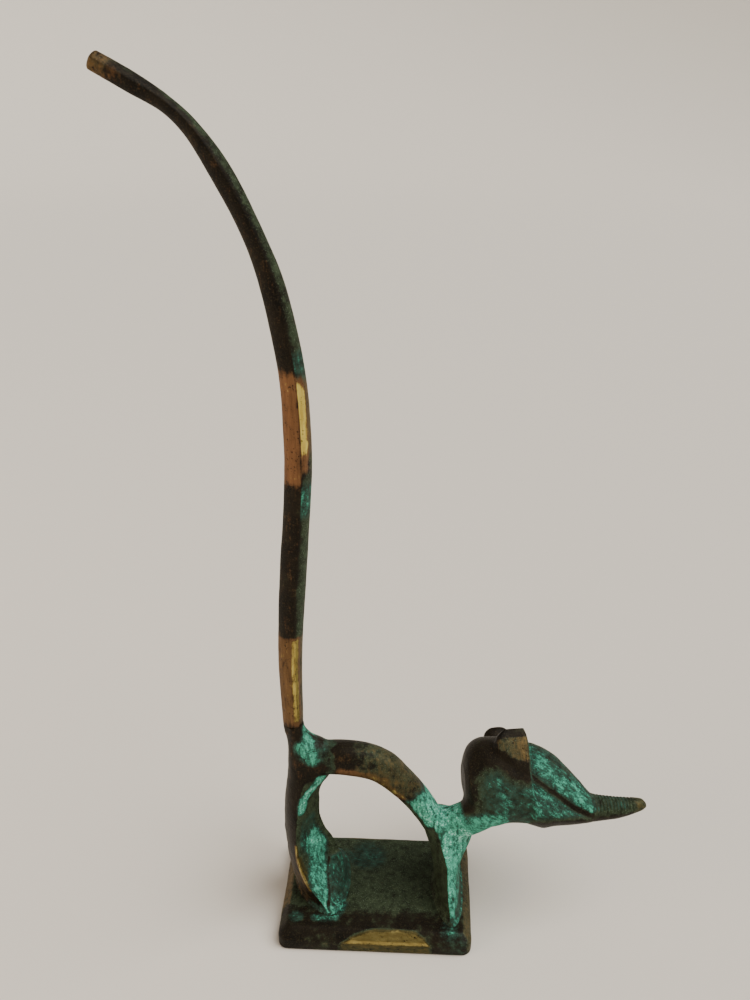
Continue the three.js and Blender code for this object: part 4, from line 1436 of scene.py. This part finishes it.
# %% Floor
FLOOR_RADIUS = 1.1
FLOOR_CURVE = 0.7
FLOOR_RINGS = 24
FLOOR_AROUND = 96
turns = turn(FLOOR_AROUND)
flat_radius = np.linspace(0.0, FLOOR_RADIUS, FLOOR_RINGS)
bend = np.linspace(0.0, np.pi / 2, FLOOR_RINGS)[1:]
radius = np.concatenate([flat_radius, FLOOR_RADIUS + FLOOR_CURVE * np.sin(bend)])[:, None]
height = np.concatenate([np.zeros(FLOOR_RINGS), FLOOR_CURVE * (1 - np.cos(bend))])[:, None]
level_x, level_y = radius * np.cos(turns), radius * np.sin(turns)
rings = np.stack([level_x, level_y, np.broadcast_to(height, level_x.shape)], axis=2)
quads = ring_quads(*rings.shape[:2])[2]
floor_mesh = bpy.data.meshes.new("floor")
floor_mesh.from_pydata(rings.reshape(-1, 3).tolist(), [], quads[:, ::-1].tolist())
floor_mesh.polygons.foreach_set("use_smooth", np.ones(len(quads), bool))
floor = new_object("floor", floor_mesh)
floor_paint = bpy.data.materials.new("matt_cream_paper")
floor_paint.use_nodes = True
paper = floor_paint.node_tree.nodes["Principled BSDF"]
paper.inputs["Base Color"].default_value = linear(PAPER)
paper.inputs["Roughness"].default_value = 0.9
floor_mesh.materials.append(floor_paint)
print("floor:", len(quads), "faces")

# %% [markdown]
# Light and camera. A wide, nearly white window light comes from the right, a warm one fills in from
# the left, and the camera looks down from where the photograph was taken, found by matching points.

# %% Light and camera
FILL_AT = Vector((-560, -240, 260))
FILL_TARGET = Vector((0, 0, 60))
FILL_SIZE = 420
FILL_POWER = 1.4
WINDOW_TOWARDS = Vector((-0.55, 0.14, -0.82))
WINDOW_POWER = 3.4
WINDOW_WIDTH = math.radians(50)
SKY_POWER = 0.45
CAMERA_AT = Vector((7.54, -162.18, 170.84))
CAMERA_YAW = math.radians(-2.846)
CAMERA_PITCH = math.radians(24.772)
CAMERA_LENS = 36
CAMERA_SENSOR = 36
CAMERA_NEAR = 0.01


def aimed(name, data, direction):
    """A lamp or a camera that looks along a direction, with its top upwards."""
    made = new_object(name, data)
    made.rotation_euler = direction.to_track_quat("-Z", "Y").to_euler()
    return made


def lamp(name, kind, power, colour):
    """Data of a lamp of this kind, power and colour."""
    data = bpy.data.lights.new(name, kind)
    data.energy = power
    data.color = linear(colour)[:3]
    return data


fill = lamp("warm_fill", "AREA", FILL_POWER, WARM_LIGHT)
fill.size = FILL_SIZE * MM
aimed("warm_fill", fill, FILL_TARGET - FILL_AT).location = FILL_AT * MM
window = lamp("window_light", "SUN", WINDOW_POWER, WINDOW_LIGHT)
window.angle = WINDOW_WIDTH
aimed("window_light", window, WINDOW_TOWARDS)
world = bpy.data.worlds.new("studio")
world.use_nodes = True
sky = world.node_tree.nodes["Background"]
sky.inputs["Color"].default_value = linear(SKY_LIGHT)
sky.inputs["Strength"].default_value = SKY_POWER
bpy.context.scene.world = world

camera_data = bpy.data.cameras.new("camera")
camera_data.lens = CAMERA_LENS
camera_data.sensor_width = CAMERA_SENSOR
camera_data.clip_start = CAMERA_NEAR
ahead = Vector((
    math.sin(CAMERA_YAW) * math.cos(CAMERA_PITCH),
    math.cos(CAMERA_YAW) * math.cos(CAMERA_PITCH),
    -math.sin(CAMERA_PITCH),
))
camera = aimed("camera", camera_data, ahead)
camera.location = CAMERA_AT * MM
bpy.context.scene.camera = camera
print("camera at", [round(value) for value in CAMERA_AT], "mm")
